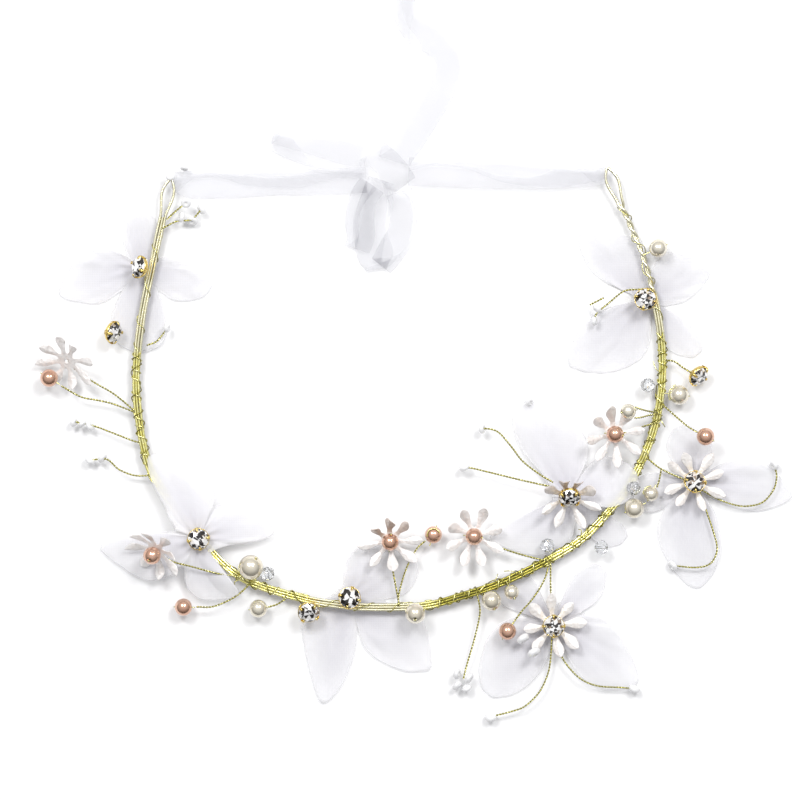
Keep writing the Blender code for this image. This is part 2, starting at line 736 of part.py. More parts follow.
# Lower left: a bloom over the chiffon flower and a rose pearl below it
low_bloom = Sprig("sprig_bloom_lower_left", -49.4, -55.3, "lower_left", 1.0)
bloom_base = low_bloom.place(-75.6, -46.3, 10.0)
straight = flower_on_end(low_bloom, 2, bloom_base, (-0.3, -0.5, 0.85), "rose_pearl_2")
fork = low_bloom.place(-54.6, -58.4, 6.4)
low_bloom.wire([low_bloom.root, fork, low_bloom.place(-64.4, -54.6, 8.2)], straight=straight)
rose_3 = low_bloom.place(-67.5, -64.4, 4.9)
before = low_bloom.place(-60.5, -64.6, 5.0)
straight = pearl_on_end(low_bloom, "rose_pearl_3", before, rose_3, ROSE_PEARL, ROSE)
low_bloom.wire([fork, low_bloom.place(-57.0, -62.6, 5.8), before], straight=straight)
low_bloom.finish()

# Front, inside the crown: a bloom with a rose pearl beside it, and a second bloom
pair = Sprig("sprig_bloom_front", -0.6, -61.3, "bottom", -1.0)
bloom_base = pair.place(-3.1, -44.1, 4.6)
straight = flower_on_end(pair, 3, bloom_base, UP, "rose_pearl_4")
fork = pair.place(-0.8, -56.0, 3.6)
pair.wire([pair.root, fork, pair.place(-3.1, -48.5, 3.2)], straight=straight)
rose_5 = pair.place(10.3, -42.0, 4.9)
before = pair.place(7.2, -51.2, 4.6)
straight = pearl_on_end(pair, "rose_pearl_5", before, rose_5, ROSE_PEARL, ROSE)
pair.wire([fork, pair.place(3.6, -53.6, 4.3), before], straight=straight)
pair.finish()

second = Sprig("sprig_bloom_front_right", 41.0, -50.4, "front_right", -1.0)
bloom_base = second.place(23.0, -42.4, 5.2)
straight = flower_on_end(second, 4, bloom_base, UP, "rose_pearl_6", 22.5)
second.wire([second.root, second.place(35.4, -47.4, 4.0), second.place(28.6, -45.0, 3.7)], straight=straight)
second.finish()

# Front, outside the crown: the bud cluster and the bottom blossom with its rose pearl
buds = Sprig("sprig_buds_front", 20.6, -62.3, "front_right", 1.0)
ends = [buds.place(20.4, -82.9, 3.4), buds.place(19.6, -86.6, 3.2)]
buds.wire([buds.root, buds.place(22.0, -74.7, 3.8)] + ends)
buds.bead(ends[0])
buds.bead(ends[1], SEED_DIAMETER * 1.5)
buds.finish()

bottom = Sprig("sprig_blossom_front", 46.9, -52.0, "front_right", 1.0)
heart = blossom(bottom, 6, (47.8, -70.3), (
    (59.4, -53.9, FLAT, 34), (74.1, -88.8, FLAT, 32), (26.6, -91.6, FLAT, 34), (32.0, -59.0, FLAT, 26),
))
fork = bottom.place(46.9, -57.5, 3.8)
bottom.wire([bottom.root, fork, heart])
bottom.wire([heart, bottom.place(50.3, -77.4, 2.4), bottom.place(53.0, -83.6, 2.6),
             bottom.place(61.6, -89.1, 2.8), bottom.place(73.0, -90.0, 2.6)], STAMEN_RADIUS)
bottom.bead(bottom.place(73.0, -90.0, 2.6))
bottom.wire([heart, bottom.place(46.9, -80.9, 2.4), bottom.place(43.4, -90.9, 2.6),
             bottom.place(35.0, -96.9, 2.8), bottom.place(28.3, -98.8, 2.6)], STAMEN_RADIUS)
bottom.bead(bottom.place(28.3, -98.8, 2.6))
rose_7 = bottom.place(33.4, -71.9, 6.6)
before = bottom.place(37.6, -65.6, 6.4)
straight = pearl_on_end(bottom, "rose_pearl_7", before, rose_7, ROSE_PEARL, ROSE)
bottom.wire([fork, bottom.place(42.4, -60.6, 5.6), before], straight=straight)
bottom.finish()

# Right side: the outer blossom with two cream pearls, a rose pearl, an inner bloom and a stone
outer = Sprig("sprig_blossom_right", 76.4, -17.4, "right_side", 1.0)
heart = blossom(outer, 5, (91.6, -25.6), (
    (122.5, -29.7, FLAT, 30), (92.8, -58.8, FLAT, 32), (90.6, -7.8, FLAT, 34), (74.0, -31.0, FLAT, 26),
))
fork = outer.place(82.2, -21.6, 3.6)
outer.wire([outer.root, fork, heart])
outer.wire([heart, outer.place(98.5, -31.0, 2.4), outer.place(107.5, -33.1, 2.6),
            outer.place(114.6, -30.4, 2.8), outer.place(116.7, -20.3, 2.6)], STAMEN_RADIUS)
outer.bead(outer.place(116.7, -20.3, 2.6))
outer.wire([heart, outer.place(95.0, -34.4, 2.4), outer.place(98.8, -46.2, 2.6),
            outer.place(95.0, -51.8, 2.8), outer.place(85.0, -51.6, 2.6)], STAMEN_RADIUS)
outer.bead(outer.place(85.0, -51.6, 2.6))
cream_7 = outer.place(78.3, -29.0, 5.2)
straight = pearl_on_end(outer, "cream_pearl_7", fork, cream_7, 4.8, CREAM)
outer.wire([fork + UP * 0.1, straight[0].lerp(fork, 0.4)], straight=straight)
cream_6 = outer.place(72.8, -33.7, 6.3)
straight = pearl_on_end(outer, "cream_pearl_6", straight[-1], cream_6, 6.4, CREAM)
outer.wire([cream_7 + (cream_7 - fork).normalized() * 2.6, straight[0]], straight=straight[1:])
outer.finish()

rose_right = Sprig("sprig_rose_right", 81.4, -4.2, "right_side", 1.0)
rose_9 = rose_right.place(94.7, -11.3, 10.4)
before = rose_right.place(89.4, -8.4, 8.6)
straight = pearl_on_end(rose_right, "rose_pearl_9", before, rose_9, ROSE_PEARL, ROSE)
rose_right.wire([rose_right.root, before], straight=straight)
rose_right.finish()

inner_bloom = Sprig("sprig_bloom_right", 79.4, -6.6, "right_side", -1.0)
bloom_base = inner_bloom.place(66.6, -10.6, 7.6)
straight = flower_on_end(inner_bloom, 5, bloom_base, UP, "rose_pearl_8")
fork = inner_bloom.place(75.0, -7.6, 4.2)
inner_bloom.wire([inner_bloom.root, fork, inner_bloom.place(70.4, -9.4, 5.6)], straight=straight)
cream_8 = inner_bloom.place(70.6, -3.5, 12.6)
before = inner_bloom.place(76.0, -2.6, 9.8)
straight = pearl_on_end(inner_bloom, "cream_pearl_8", before, cream_8, 5.0, CREAM)
inner_bloom.wire([fork, before], straight=straight)
inner_bloom.finish()

stone_sprig = Sprig("sprig_stone_right", 82.0, 11.6, "right_side", 1.0)
stone_axis = Vector((0.55, -0.25, 0.8)).normalized()
stone_foot = stone_sprig.place(92.0, 8.0, 4.4)
stone_sprig.wire([stone_sprig.root, stone_sprig.place(87.8, 9.8, 3.6)], straight=[stone_foot - stone_axis * 0.5])
stone_sprig.pieces.append(set_stone("set_stone_10", stone_foot, stone_axis))
stone_sprig.finish()


# The ribbon: two flat bands that cross in the knot, one lying on the other


def ribbon(name, outline, low):
    """A flat band of ribbon, drawn from above at the crown's width, with its underside at a height."""
    curve = bpy.data.curves.new(name, "CURVE")
    curve.dimensions = "2D"
    curve.fill_mode = "BOTH"
    curve.extrude = RIBBON_THICKNESS / 2 * MM
    spline = curve.splines.new("POLY")
    spline.points.add(len(outline) - 1)
    lift = vine.points[-1].y - VINE_PLAN[-1][1]
    for knot, (x, y) in zip(spline.points, outline):
        knot.co = (x * CROWN_WIDTH / PLAN_WIDTH * MM, (y + lift) * MM, 0.0, 1.0)
    spline.use_cyclic_u = True
    band = add_object(name, curve, ORGANZA)
    band.location.z = (low + RIBBON_THICKNESS / 2) * MM
    return band


LEFT_RIBBON = (
    (-71.5, 66.2), (-68.0, 65.2), (-40.0, 63.4), (-14.5, 64.0), (-14.0, 58.0), (-15.0, 49.0), (-13.0, 40.0),
    (-6.2, 39.1), (-1.0, 47.0), (4.0, 55.0), (3.4, 65.4), (2.0, 75.0), (-12.0, 77.5), (-16.0, 71.8),
    (-33.0, 71.2), (-58.0, 71.2), (-68.0, 69.8),
)
RIGHT_RIBBON = (
    (64.9, 69.4), (60.0, 66.4), (40.0, 66.4), (19.4, 66.2), (4.8, 66.0), (-15.0, 68.0), (-41.2, 79.4),
    (-40.6, 81.4), (-22.0, 79.2), (-10.0, 81.0), (-4.0, 90.0), (1.4, 100.0), (1.6, 114.0), (-2.6, 124.0),
    (-1.0, 136.0), (5.4, 134.0), (10.0, 115.5), (18.0, 110.0), (20.6, 99.0), (13.0, 90.0), (7.4, 78.0),
    (11.6, 74.0), (31.6, 74.2), (46.6, 71.8), (60.0, 71.4),
)
ribbon("ribbon_left", LEFT_RIBBON, 0.0)
ribbon("ribbon_right", RIGHT_RIBBON, RIBBON_THICKNESS + CLEARANCE)

# The crown's origin is the middle of its footprint, on the table

bpy.context.view_layer.update()
graph = bpy.context.evaluated_depsgraph_get()
corners = []
for piece in crown_parts.objects:
    if piece.type != "EMPTY":
        finished = piece.evaluated_get(graph)
        corners += [finished.matrix_world @ corner.co for corner in finished.to_mesh().vertices]
        finished.to_mesh_clear()
low = Vector([min(corner[i] for corner in corners) for i in range(3)])
high = Vector([max(corner[i] for corner in corners) for i in range(3)])
crown.location = (-(low.x + high.x) / 2, -(low.y + high.y) / 2, -low.z)

for piece in crown_parts.objects:
    if piece.type == "MESH":
        piece.data.shade_smooth()
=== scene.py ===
# %% [markdown]
# # A bridal hair vine in Blender
# The crown is an open arc of gold wire with chiffon flowers, small painted metal flowers, pearls and set
# stones, and a sheer ribbon ties it at the back. It lies flat on a pale table and is seen from straight
# above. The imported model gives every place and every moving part. This lesson gives each piece its real
# shape and finish.

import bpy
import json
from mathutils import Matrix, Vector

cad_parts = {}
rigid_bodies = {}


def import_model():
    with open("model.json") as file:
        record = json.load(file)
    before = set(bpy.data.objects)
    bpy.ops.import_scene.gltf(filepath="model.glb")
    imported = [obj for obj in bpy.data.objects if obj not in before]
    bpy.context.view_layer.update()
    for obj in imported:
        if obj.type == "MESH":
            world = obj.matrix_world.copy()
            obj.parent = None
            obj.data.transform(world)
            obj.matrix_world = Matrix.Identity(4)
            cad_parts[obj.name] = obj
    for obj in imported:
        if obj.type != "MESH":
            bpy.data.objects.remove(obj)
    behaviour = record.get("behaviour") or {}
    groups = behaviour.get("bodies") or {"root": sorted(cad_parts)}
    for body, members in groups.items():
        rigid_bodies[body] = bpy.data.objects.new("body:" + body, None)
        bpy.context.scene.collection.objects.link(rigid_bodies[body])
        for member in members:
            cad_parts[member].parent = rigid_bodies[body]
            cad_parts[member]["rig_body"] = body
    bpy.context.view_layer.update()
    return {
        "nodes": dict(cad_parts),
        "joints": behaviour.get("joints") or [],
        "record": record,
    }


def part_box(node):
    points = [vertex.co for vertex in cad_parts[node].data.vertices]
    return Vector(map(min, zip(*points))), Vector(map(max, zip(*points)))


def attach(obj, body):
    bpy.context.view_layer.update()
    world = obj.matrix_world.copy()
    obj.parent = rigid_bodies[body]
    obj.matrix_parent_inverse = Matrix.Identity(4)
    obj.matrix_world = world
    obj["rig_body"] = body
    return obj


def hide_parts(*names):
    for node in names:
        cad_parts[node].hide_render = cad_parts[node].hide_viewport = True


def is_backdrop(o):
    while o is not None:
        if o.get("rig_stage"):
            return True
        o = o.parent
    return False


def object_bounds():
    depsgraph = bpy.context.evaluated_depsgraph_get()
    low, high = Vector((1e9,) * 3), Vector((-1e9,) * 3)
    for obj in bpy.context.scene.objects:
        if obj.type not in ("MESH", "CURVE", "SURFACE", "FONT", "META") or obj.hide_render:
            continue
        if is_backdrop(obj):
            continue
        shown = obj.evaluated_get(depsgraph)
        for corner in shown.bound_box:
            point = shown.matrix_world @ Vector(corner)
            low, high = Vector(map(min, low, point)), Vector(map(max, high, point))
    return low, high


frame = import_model()

# %% The tools that the cells use
import json
import math

import bmesh
import bpy
import numpy as np
from mathutils import Matrix, Vector, noise

MM = 0.001
TURN = 2 * math.pi
UP = Vector((0, 0, 1))
shown = bpy.context.scene.collection
for leftover in list(bpy.data.objects):
    if leftover.name in ("Cube", "Camera", "Light"):
        bpy.data.objects.remove(leftover)

# %% [markdown]
# ## The plan
# The crown was drawn as a plan in millimetres, with its middle at 0, 0 and +Y towards the ribbon. The
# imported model's origin is the middle of its footprint, so the plan has to be moved onto it. The flat face
# that the ribbon rests on is at -30, 67 on the plan, and the record says where it is in the frame: the
# difference is the move.

# %% Lay the plan on the frame
rest_face = next(mount for mount in frame["record"]["mounts"] if mount["name"] == "rest_face")
PLAN_ORIGIN = Vector(rest_face["pos_m"]) - Vector((-30.0, 67.0, 0.0)) * MM


def plan(x, y, z=0.0):
    return PLAN_ORIGIN + Vector((x, y, z)) * MM


def on_plan(point):
    """The same move backwards: a point of the frame in the plan's millimetres."""
    return (Vector(point) - PLAN_ORIGIN) / MM


def middle(node):
    low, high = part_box(node)
    return on_plan((low + high) / 2)


print("plan origin in mm:", [round(c / MM, 2) for c in PLAN_ORIGIN])

# %% [markdown]
# ## The camera
# The camera comes first, so that every later step can be looked at. It stands straight above the plan's
# middle. A long lens from far away keeps the tall pieces from leaning outwards, as a product photographer
# would do.

# %% Set up the camera
LENS = 180.0
SENSOR = 36.0
VIEW_WIDTH = 250.0
camera = bpy.data.objects.new("camera", bpy.data.cameras.new("camera"))
shown.objects.link(camera)
camera.data.lens = LENS
camera.data.sensor_width = SENSOR
camera.data.clip_start = 0.01
camera.location = plan(0, 0, VIEW_WIDTH * LENS / SENSOR)
bpy.context.scene.camera = camera
print("camera height in m:", round(camera.location.z, 3))

# %% [markdown]
# ## The studio
# White jewellery is lit by a big soft tent, with darker edges that draw the outline of shiny wire. The
# world is that tent: bright overhead, dimmer near the horizon and on the near side. Two small softboxes
# stand at the back and leave the pair of bright spots that a pearl shows.

# %% Light the studio


def add_node(tree, kind, inputs=None, **settings):
    """Adds a node, sets its options, and links or fills its inputs."""
    made = tree.nodes.new(kind)
    for name, value in settings.items():
        setattr(made, name, value)
    for socket, value in (inputs or {}).items():
        if isinstance(value, bpy.types.NodeSocket):
            tree.links.new(value, made.inputs[socket])
        else:
            made.inputs[socket].default_value = value
    return made


def maths(tree, operation, first, second=0.0, third=0.0):
    return add_node(tree, "ShaderNodeMath", {0: first, 1: second, 2: third}, operation=operation).outputs[0]


TENT_LOW = 0.1
TENT_RISE = 0.76
TENT_BACK = 0.34
world = bpy.data.worlds.new("tent")
bpy.context.scene.world = world
world.use_nodes = True
tent = world.node_tree
seen_along = add_node(tent, "ShaderNodeTexCoord").outputs["Generated"]
direction = add_node(tent, "ShaderNodeSeparateXYZ", {0: seen_along})
rise = maths(tent, "MULTIPLY_ADD", maths(tent, "MAXIMUM", direction.outputs["Z"], 0.0), TENT_RISE, TENT_LOW)
glow = maths(tent, "MAXIMUM", maths(tent, "MULTIPLY_ADD", direction.outputs["Y"], TENT_BACK, rise), 0.05)
tent.nodes["Background"].inputs["Color"].default_value = (0.985, 0.985, 1.0, 1.0)
tent.links.new(glow, tent.nodes["Background"].inputs["Strength"])


def softbox(name, place, size, watts):
    lamp = bpy.data.lights.new(name, "AREA")
    lamp.shape = "RECTANGLE"
    lamp.size, lamp.size_y = size
    lamp.energy = watts
    box = bpy.data.objects.new(name, lamp)
    shown.objects.link(box)
    box.location = place
    box.rotation_euler = (-Vector(place)).to_track_quat("-Z", "Y").to_euler()


softbox("softbox_left", (-0.33, 0.42, 1.0), (0.24, 0.32), 4.8)
softbox("softbox_right", (0.33, 0.42, 1.0), (0.24, 0.32), 4.8)
bpy.context.scene.view_settings.view_transform = "Standard"

# %% [markdown]
# ## The table
# The table is a large white sheet just under the crown. It isn't part of the crown, so it is marked as stage.

# %% Lay the table
table_mesh = bpy.data.meshes.new("table")
TABLE = 3.0
table_mesh.from_pydata(
    [(-TABLE, -TABLE, -0.0002), (TABLE, -TABLE, -0.0002), (TABLE, TABLE, -0.0002), (-TABLE, TABLE, -0.0002)],
    [], [(0, 1, 2, 3)],
)
table = bpy.data.objects.new("table", table_mesh)
shown.objects.link(table)
table_white = bpy.data.materials.new("table_white")
table_white.use_nodes = True
table_shader = table_white.node_tree.nodes["Principled BSDF"]
table_shader.inputs["Base Color"].default_value = (0.93, 0.93, 0.935, 1.0)
table_shader.inputs["Roughness"].default_value = 0.9
table_shader.inputs["Specular IOR Level"].default_value = 0.1
table_mesh.materials.append(table_white)
table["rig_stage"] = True

# %% [markdown]
# ## Finishes
# Every finish starts from the Principled shader. Numbers that are the same all over go straight on its
# sockets, and only what changes over the surface comes from textures: soft noise for colour, and a small
# bump for the surface.


# %% A helper for finishes


def finish(name, coords, low, high, scale, bump_scale, bump, **constants):
    """A finish with two mixed colours and a fine bump. coords is the texture coordinate that it reads."""
    material = bpy.data.materials.new(name)
    material.use_nodes = True
    tree = material.node_tree
    shader = tree.nodes["Principled BSDF"]
    for socket, value in constants.items():
        shader.inputs[socket.replace("_", " ")].default_value = value
    space = add_node(tree, "ShaderNodeTexCoord").outputs[coords]
    speckle = add_node(tree, "ShaderNodeTexNoise", {"Vector": space, "Scale": scale, "Detail": 3.0})
    blend = add_node(tree, "ShaderNodeValToRGB", {"Fac": speckle.outputs["Fac"]})
    blend.color_ramp.elements[0].position = 0.32
    blend.color_ramp.elements[1].position = 0.68
    blend.color_ramp.elements[0].color = (*low, 1.0)
    blend.color_ramp.elements[1].color = (*high, 1.0)
    tree.links.new(blend.outputs["Color"], shader.inputs["Base Color"])
    grain = add_node(tree, "ShaderNodeTexNoise", {"Vector": space, "Scale": bump_scale, "Detail": 2.0})
    relief = add_node(tree, "ShaderNodeBump", {"Height": grain.outputs["Fac"], "Distance": bump * MM,
                                               "Strength": 1.0})
    tree.links.new(relief.outputs["Normal"], shader.inputs["Normal"])
    return material


# %% [markdown]
# ## Gold finishes
# The wire is thin brass plated a pale lemon gold. The stone cups are stamped and plated a warmer amber.
# Both are metals, and a slight change of colour with a fine bump stops them from looking like plastic.

# %% Gold
GOLD = finish("gold_wire", "Object", (0.90, 0.83, 0.25), (1.0, 0.97, 0.52), 700.0, 2600.0, 0.03,
              Metallic=1.0, Roughness=0.22)


def mix_in(material, attribute, color, share=1.0):
    """Mixes another colour into a finish, as strongly as the mesh's attribute says."""
    tree = material.node_tree
    shader = tree.nodes["Principled BSDF"]
    ground = shader.inputs["Base Color"].links[0].from_socket
    mark = add_node(tree, "ShaderNodeAttribute", attribute_name=attribute).outputs["Fac"]
    amount = maths(tree, "MULTIPLY", mark, share)
    blend = add_node(tree, "ShaderNodeMix", {0: amount, 6: ground, 7: (*color, 1.0)}, data_type="RGBA")
    tree.links.new(blend.outputs[2], shader.inputs["Base Color"])


mix_in(GOLD, "pale", (0.97, 0.93, 0.74))
# Painted shade: olive on one stretch of the core and on two of the windings.
mix_in(GOLD, "painted_olive_shade", (0.30, 0.27, 0.04))
# Painted shade: dark olive on the sides of every gold wire that turn away from above.
mix_in(GOLD, "painted_side_shade", (0.13, 0.11, 0.015), 0.92)
CUP_GOLD = finish("cup_gold", "Object", (0.76, 0.52, 0.13), (0.95, 0.77, 0.30), 600.0, 1800.0, 0.05,
                  Metallic=1.0, Roughness=0.2)

# %% [markdown]
# ## Pearl finishes
# An imitation pearl is a glass or plastic bead dipped in pearl lacquer. The lacquer is part metallic, so it
# mirrors the room softly in its own colour, and a thin clear coat gives the sharp highlight on top.

# %% Pearls and beads
CREAM = finish("cream_pearl", "Object", (0.76, 0.69, 0.54), (0.88, 0.83, 0.71), 260.0, 2400.0, 0.012,
               Metallic=0.68, Roughness=0.2, Coat_Weight=1.0, Coat_Roughness=0.05)
ROSE = finish("rose_pearl", "Object", (0.64, 0.35, 0.235), (0.79, 0.50, 0.36), 260.0, 2400.0, 0.012,
              Metallic=0.8, Roughness=0.2, Coat_Weight=1.0, Coat_Roughness=0.05)
SEED_WHITE = finish("seed_white", "Object", (0.80, 0.80, 0.81), (0.90, 0.90, 0.905), 400.0, 1500.0, 0.02,
                    Roughness=0.12, Coat_Weight=0.6, Coat_Roughness=0.05)
CRYSTAL = finish("crystal", "Object", (0.92, 0.94, 0.96), (0.99, 0.99, 1.0), 300.0, 900.0, 0.02,
                 Roughness=0.03, Transmission_Weight=0.9, IOR=1.53)

# %% [markdown]
# ## Painted petals
# The small flowers are stamped from thin sheet and painted an ivory pearl colour over a hammered grain.
# Where a petal stands up, a tan colour is mixed in as painted shade: a raised petal shows its shaded side
# and mirrors the darker room. The mesh carries that as a point attribute.

# %% Painted metal
PAINTED = finish("painted_petal", "Object", (0.88, 0.83, 0.80), (0.97, 0.95, 0.935), 520.0, 1000.0, 0.42,
                 Metallic=0.12, Roughness=0.34, Coat_Weight=0.35, Coat_Roughness=0.2)


# Painted shade: tan mixed in as strongly as the mesh's attribute says.
mix_in(PAINTED, "painted_tan_shade", (0.53, 0.41, 0.33))

# %% [markdown]
# ## Stones
# A rhinestone is a cut glass stone with a mirror foil behind it. Each facet shows a different piece of the
# room, so one is white, the next black or beige. Those reflections are painted: the mesh gives each facet
# its own tone, and small cells break it up as painted reflections of the back facets.

# %% Stone
STONE = bpy.data.materials.new("stone")
STONE.use_nodes = True
cut = STONE.node_tree
stone_shader = cut.nodes["Principled BSDF"]
for socket, value in (("Metallic", 0.3), ("Roughness", 0.06), ("Coat Weight", 1.0), ("Coat Roughness", 0.02)):
    stone_shader.inputs[socket].default_value = value
# Painted reflections: the facet's tone and small cells pick white, black or beige.
painted_facet_reflection = add_node(cut, "ShaderNodeAttribute", attribute_name="painted_facet_reflection").outputs["Fac"]
cells = add_node(cut, "ShaderNodeTexVoronoi",
                 {"Vector": add_node(cut, "ShaderNodeTexCoord").outputs["Object"], "Scale": 620.0})
cell_tone = add_node(cut, "ShaderNodeSeparateColor", {0: cells.outputs["Color"]}).outputs[0]
tone = maths(cut, "FRACT", maths(cut, "MULTIPLY_ADD", cell_tone, 0.3, painted_facet_reflection))
stone_ramp = add_node(cut, "ShaderNodeValToRGB", {"Fac": tone})
stone_ramp.color_ramp.interpolation = "CONSTANT"
for position, color in (
    (0.0, (0.97, 0.96, 0.95)), (0.2, (0.015, 0.012, 0.01)), (0.42, (0.96, 0.94, 0.92)),
    (0.54, (0.34, 0.26, 0.19)), (0.61, (1.0, 0.99, 0.97)), (0.78, (0.02, 0.016, 0.014)),
):
    step = stone_ramp.color_ramp.elements.new(position) if position else stone_ramp.color_ramp.elements[0]
    step.color = (*color, 1.0)
stone_ramp.color_ramp.elements.remove(stone_ramp.color_ramp.elements[-1])
cut.links.new(stone_ramp.outputs["Color"], stone_shader.inputs["Base Color"])

# %% [markdown]
# ## Sheer cloth
# Chiffon and organza are open weaves: light comes through between the threads. The threads follow the
# cloth, so the weave reads a UV map whose unit is ten millimetres of flat cloth. Two crossed waves give the
# threads, and they drive both the bump and how much the cloth covers. The chiffon is deeper in colour near
# a flower's middle.

# %% Cloth


def sheer(name, low, high, thin, thick, thread, **constants):
    """thread is the weave's pitch in millimetres, and thin and thick are how much it covers."""
    material = finish(name, "UV", low, high, 1.1, 9.0, 0.02, **constants)
    tree = material.node_tree
    shader = tree.nodes["Principled BSDF"]
    flat = add_node(tree, "ShaderNodeTexCoord").outputs["UV"]
    pitch = 0.314 / (thread / 10)
    warp = add_node(tree, "ShaderNodeTexWave", {"Vector": flat, "Scale": pitch, "Distortion": 0.4},
                    bands_direction="X")
    weft = add_node(tree, "ShaderNodeTexWave", {"Vector": flat, "Scale": pitch, "Distortion": 0.4},
                    bands_direction="Y")
    threads = maths(tree, "MAXIMUM", warp.outputs["Fac"], weft.outputs["Fac"])
    cover = add_node(tree, "ShaderNodeMapRange", {"Value": threads, "To Min": thin, "To Max": thick})
    tree.links.new(cover.outputs["Result"], shader.inputs["Alpha"])
    relief = add_node(tree, "ShaderNodeBump", {"Height": threads, "Distance": 0.05 * MM, "Strength": 0.6})
    tree.links.new(relief.outputs["Normal"], shader.inputs["Normal"])
    return material


CHIFFON = sheer("chiffon", (0.92, 0.915, 0.94), (0.965, 0.96, 0.98), 0.70, 0.77, 0.55,
                Roughness=0.75, Sheen_Weight=0.2, Sheen_Roughness=0.5, Specular_IOR_Level=0.25)
ORGANZA = sheer("organza", (0.66, 0.66, 0.71), (0.73, 0.73, 0.77), 0.135, 0.19, 0.45,
                Roughness=0.55, Sheen_Weight=0.2, Sheen_Roughness=0.35, Specular_IOR_Level=0.4)


def fade_outwards(material, deep):
    """Deepens a flower's middle and thins its rim, by the attribute that runs from 0 to 1 between them."""
    tree = material.node_tree
    shader = tree.nodes["Principled BSDF"]
    colour = shader.inputs["Base Color"].links[0].from_socket
    cover = shader.inputs["Alpha"].links[0].from_socket
    outward = add_node(tree, "ShaderNodeAttribute", attribute_name="outward").outputs["Fac"]
    near = add_node(tree, "ShaderNodeMapRange", {"Value": outward, "From Min": 0.1, "From Max": 0.8,
                                                "To Min": 1.0, "To Max": 0.0}).outputs["Result"]
    deepened = add_node(tree, "ShaderNodeMix", {0: near, 6: colour, 7: (*deep, 1.0)}, data_type="RGBA")
    tree.links.new(deepened.outputs[2], shader.inputs["Base Color"])
    rim = add_node(tree, "ShaderNodeMapRange", {"Value": outward, "From Min": 0.45, "From Max": 1.0,
                                               "To Min": 1.0, "To Max": 0.42}).outputs["Result"]
    tree.links.new(maths(tree, "MULTIPLY", cover, rim), shader.inputs["Alpha"])


fade_outwards(CHIFFON, (0.765, 0.755, 0.805))
print("finishes:", sorted(m.name for m in bpy.data.materials))

# %% [markdown]
# ## Curves and pieces
# Most of the crown follows smooth paths, so one helper rounds a few points into a curve. The others turn
# points in the plan's millimetres into a mesh, make it an object, bake its modifiers, hand it to the body
# that carries its CAD node, and hide that node.


# %% Helpers for paths and pieces


def smooth(points, per_span=8):
    """Points on the Catmull-Rom curve through the given ones."""
    points = [np.array(p, float) for p in points]
    padded = [2 * points[0] - points[1]] + points + [2 * points[-1] - points[-2]]
    found = []
    for a, b, c, d in zip(padded, padded[1:], padded[2:], padded[3:]):
        for t in np.arange(per_span) / per_span:
            square, cube = t**2, t**3
            bend = (2 * a - 5 * b + 4 * c - d) * square
            found.append(0.5 * (2 * b + (c - a) * t + bend + (3 * b - a - 3 * c + d) * cube))
    return found + [points[-1]]


def body_of(node):
    return frame["nodes"][node]["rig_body"]


def hand_over(piece, body, nodes=(), slot=None):
    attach(piece, body)
    if nodes:
        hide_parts(*nodes)
    return piece


def new_object(name, mesh):
    piece = bpy.data.objects.new(name, mesh)
    shown.objects.link(piece)
    return piece


def sheet_mesh(name, points, faces, material):
    """A mesh in the frame from plan points, left as the open sheet that they make."""
    mesh = bpy.data.meshes.new(name)
    mesh.from_pydata([tuple(plan(*p)) for p in points], [], faces)
    mesh.materials.append(material)
    return mesh


def mesh_of(name, points, faces, material, smooth_shade=True):
    """A closed mesh: its doubles are merged and its faces point outwards."""
    mesh = sheet_mesh(name, points, faces, material)
    shape = bmesh.new()
    shape.from_mesh(mesh)
    bmesh.ops.remove_doubles(shape, verts=shape.verts, dist=0.002 * MM)
    bmesh.ops.recalc_face_normals(shape, faces=shape.faces)
    shape.to_mesh(mesh)
    shape.free()
    if smooth_shade:
        mesh.shade_smooth()
    return mesh


def bake(piece):
    """Applies the piece's modifiers and keeps the result as its plain mesh."""
    graph = bpy.context.evaluated_depsgraph_get()
    mesh = bpy.data.meshes.new_from_object(piece.evaluated_get(graph), depsgraph=graph)
    piece.modifiers.clear()
    piece.data = mesh
    return piece


def thicken(piece, thickness):
    solid = piece.modifiers.new("thickness", "SOLIDIFY")
    solid.thickness = thickness * MM
    solid.offset = 0.0
    return bake(piece)


def triangles(piece):
    piece.data.calc_loop_triangles()
    return len(piece.data.loop_triangles)


# %% [markdown]
# ## Node trees for wire
# Three kinds of wire follow paths, so each is a Geometry Nodes tree: plain wire, wire twisted from two
# strands, and wire wound round the core. Each tree takes a path made of edges, and its sizes are named
# inputs. The twist comes from the curve's tilt, which turns a profile of two small circles as it goes
# along.


# %% Helpers for node trees


def new_tree(name, sizes):
    """A tree whose inputs are a path, the named sizes and a material.

    It comes with its inputs and with make, which adds a node and gives that node's first output.
    """
    tree = bpy.data.node_groups.new(name, "GeometryNodeTree")
    tree.interface.new_socket("Path", in_out="INPUT", socket_type="NodeSocketGeometry")
    for label, value in sizes.items():
        tree.interface.new_socket(label, in_out="INPUT", socket_type="NodeSocketFloat").default_value = value
    tree.interface.new_socket("Material", in_out="INPUT", socket_type="NodeSocketMaterial")
    tree.interface.new_socket("Piece", in_out="OUTPUT", socket_type="NodeSocketGeometry")

    def make(kind, inputs=None, **settings):
        return add_node(tree, kind, inputs, **settings).outputs[0]

    return tree, tree.nodes.new("NodeGroupInput").outputs, make


def close_tree(tree, make, material, geometry):
    smooth_shaded = make("GeometryNodeSetShadeSmooth", {"Geometry": geometry})
    real = make("GeometryNodeRealizeInstances", {0: smooth_shaded})
    painted = make("GeometryNodeSetMaterial", {"Geometry": real, "Material": material})
    add_node(tree, "NodeGroupOutput", {0: painted})


def even_curve(make, inputs):
    curve = make("GeometryNodeMeshToCurve", {"Mesh": inputs["Path"]})
    return make("GeometryNodeResampleCurve", {"Curve": curve, "Length": inputs["Step"]}, mode="LENGTH")


def circle(make, sides, radius):
    return make("GeometryNodeCurvePrimitiveCircle", {"Resolution": sides, "Radius": radius})


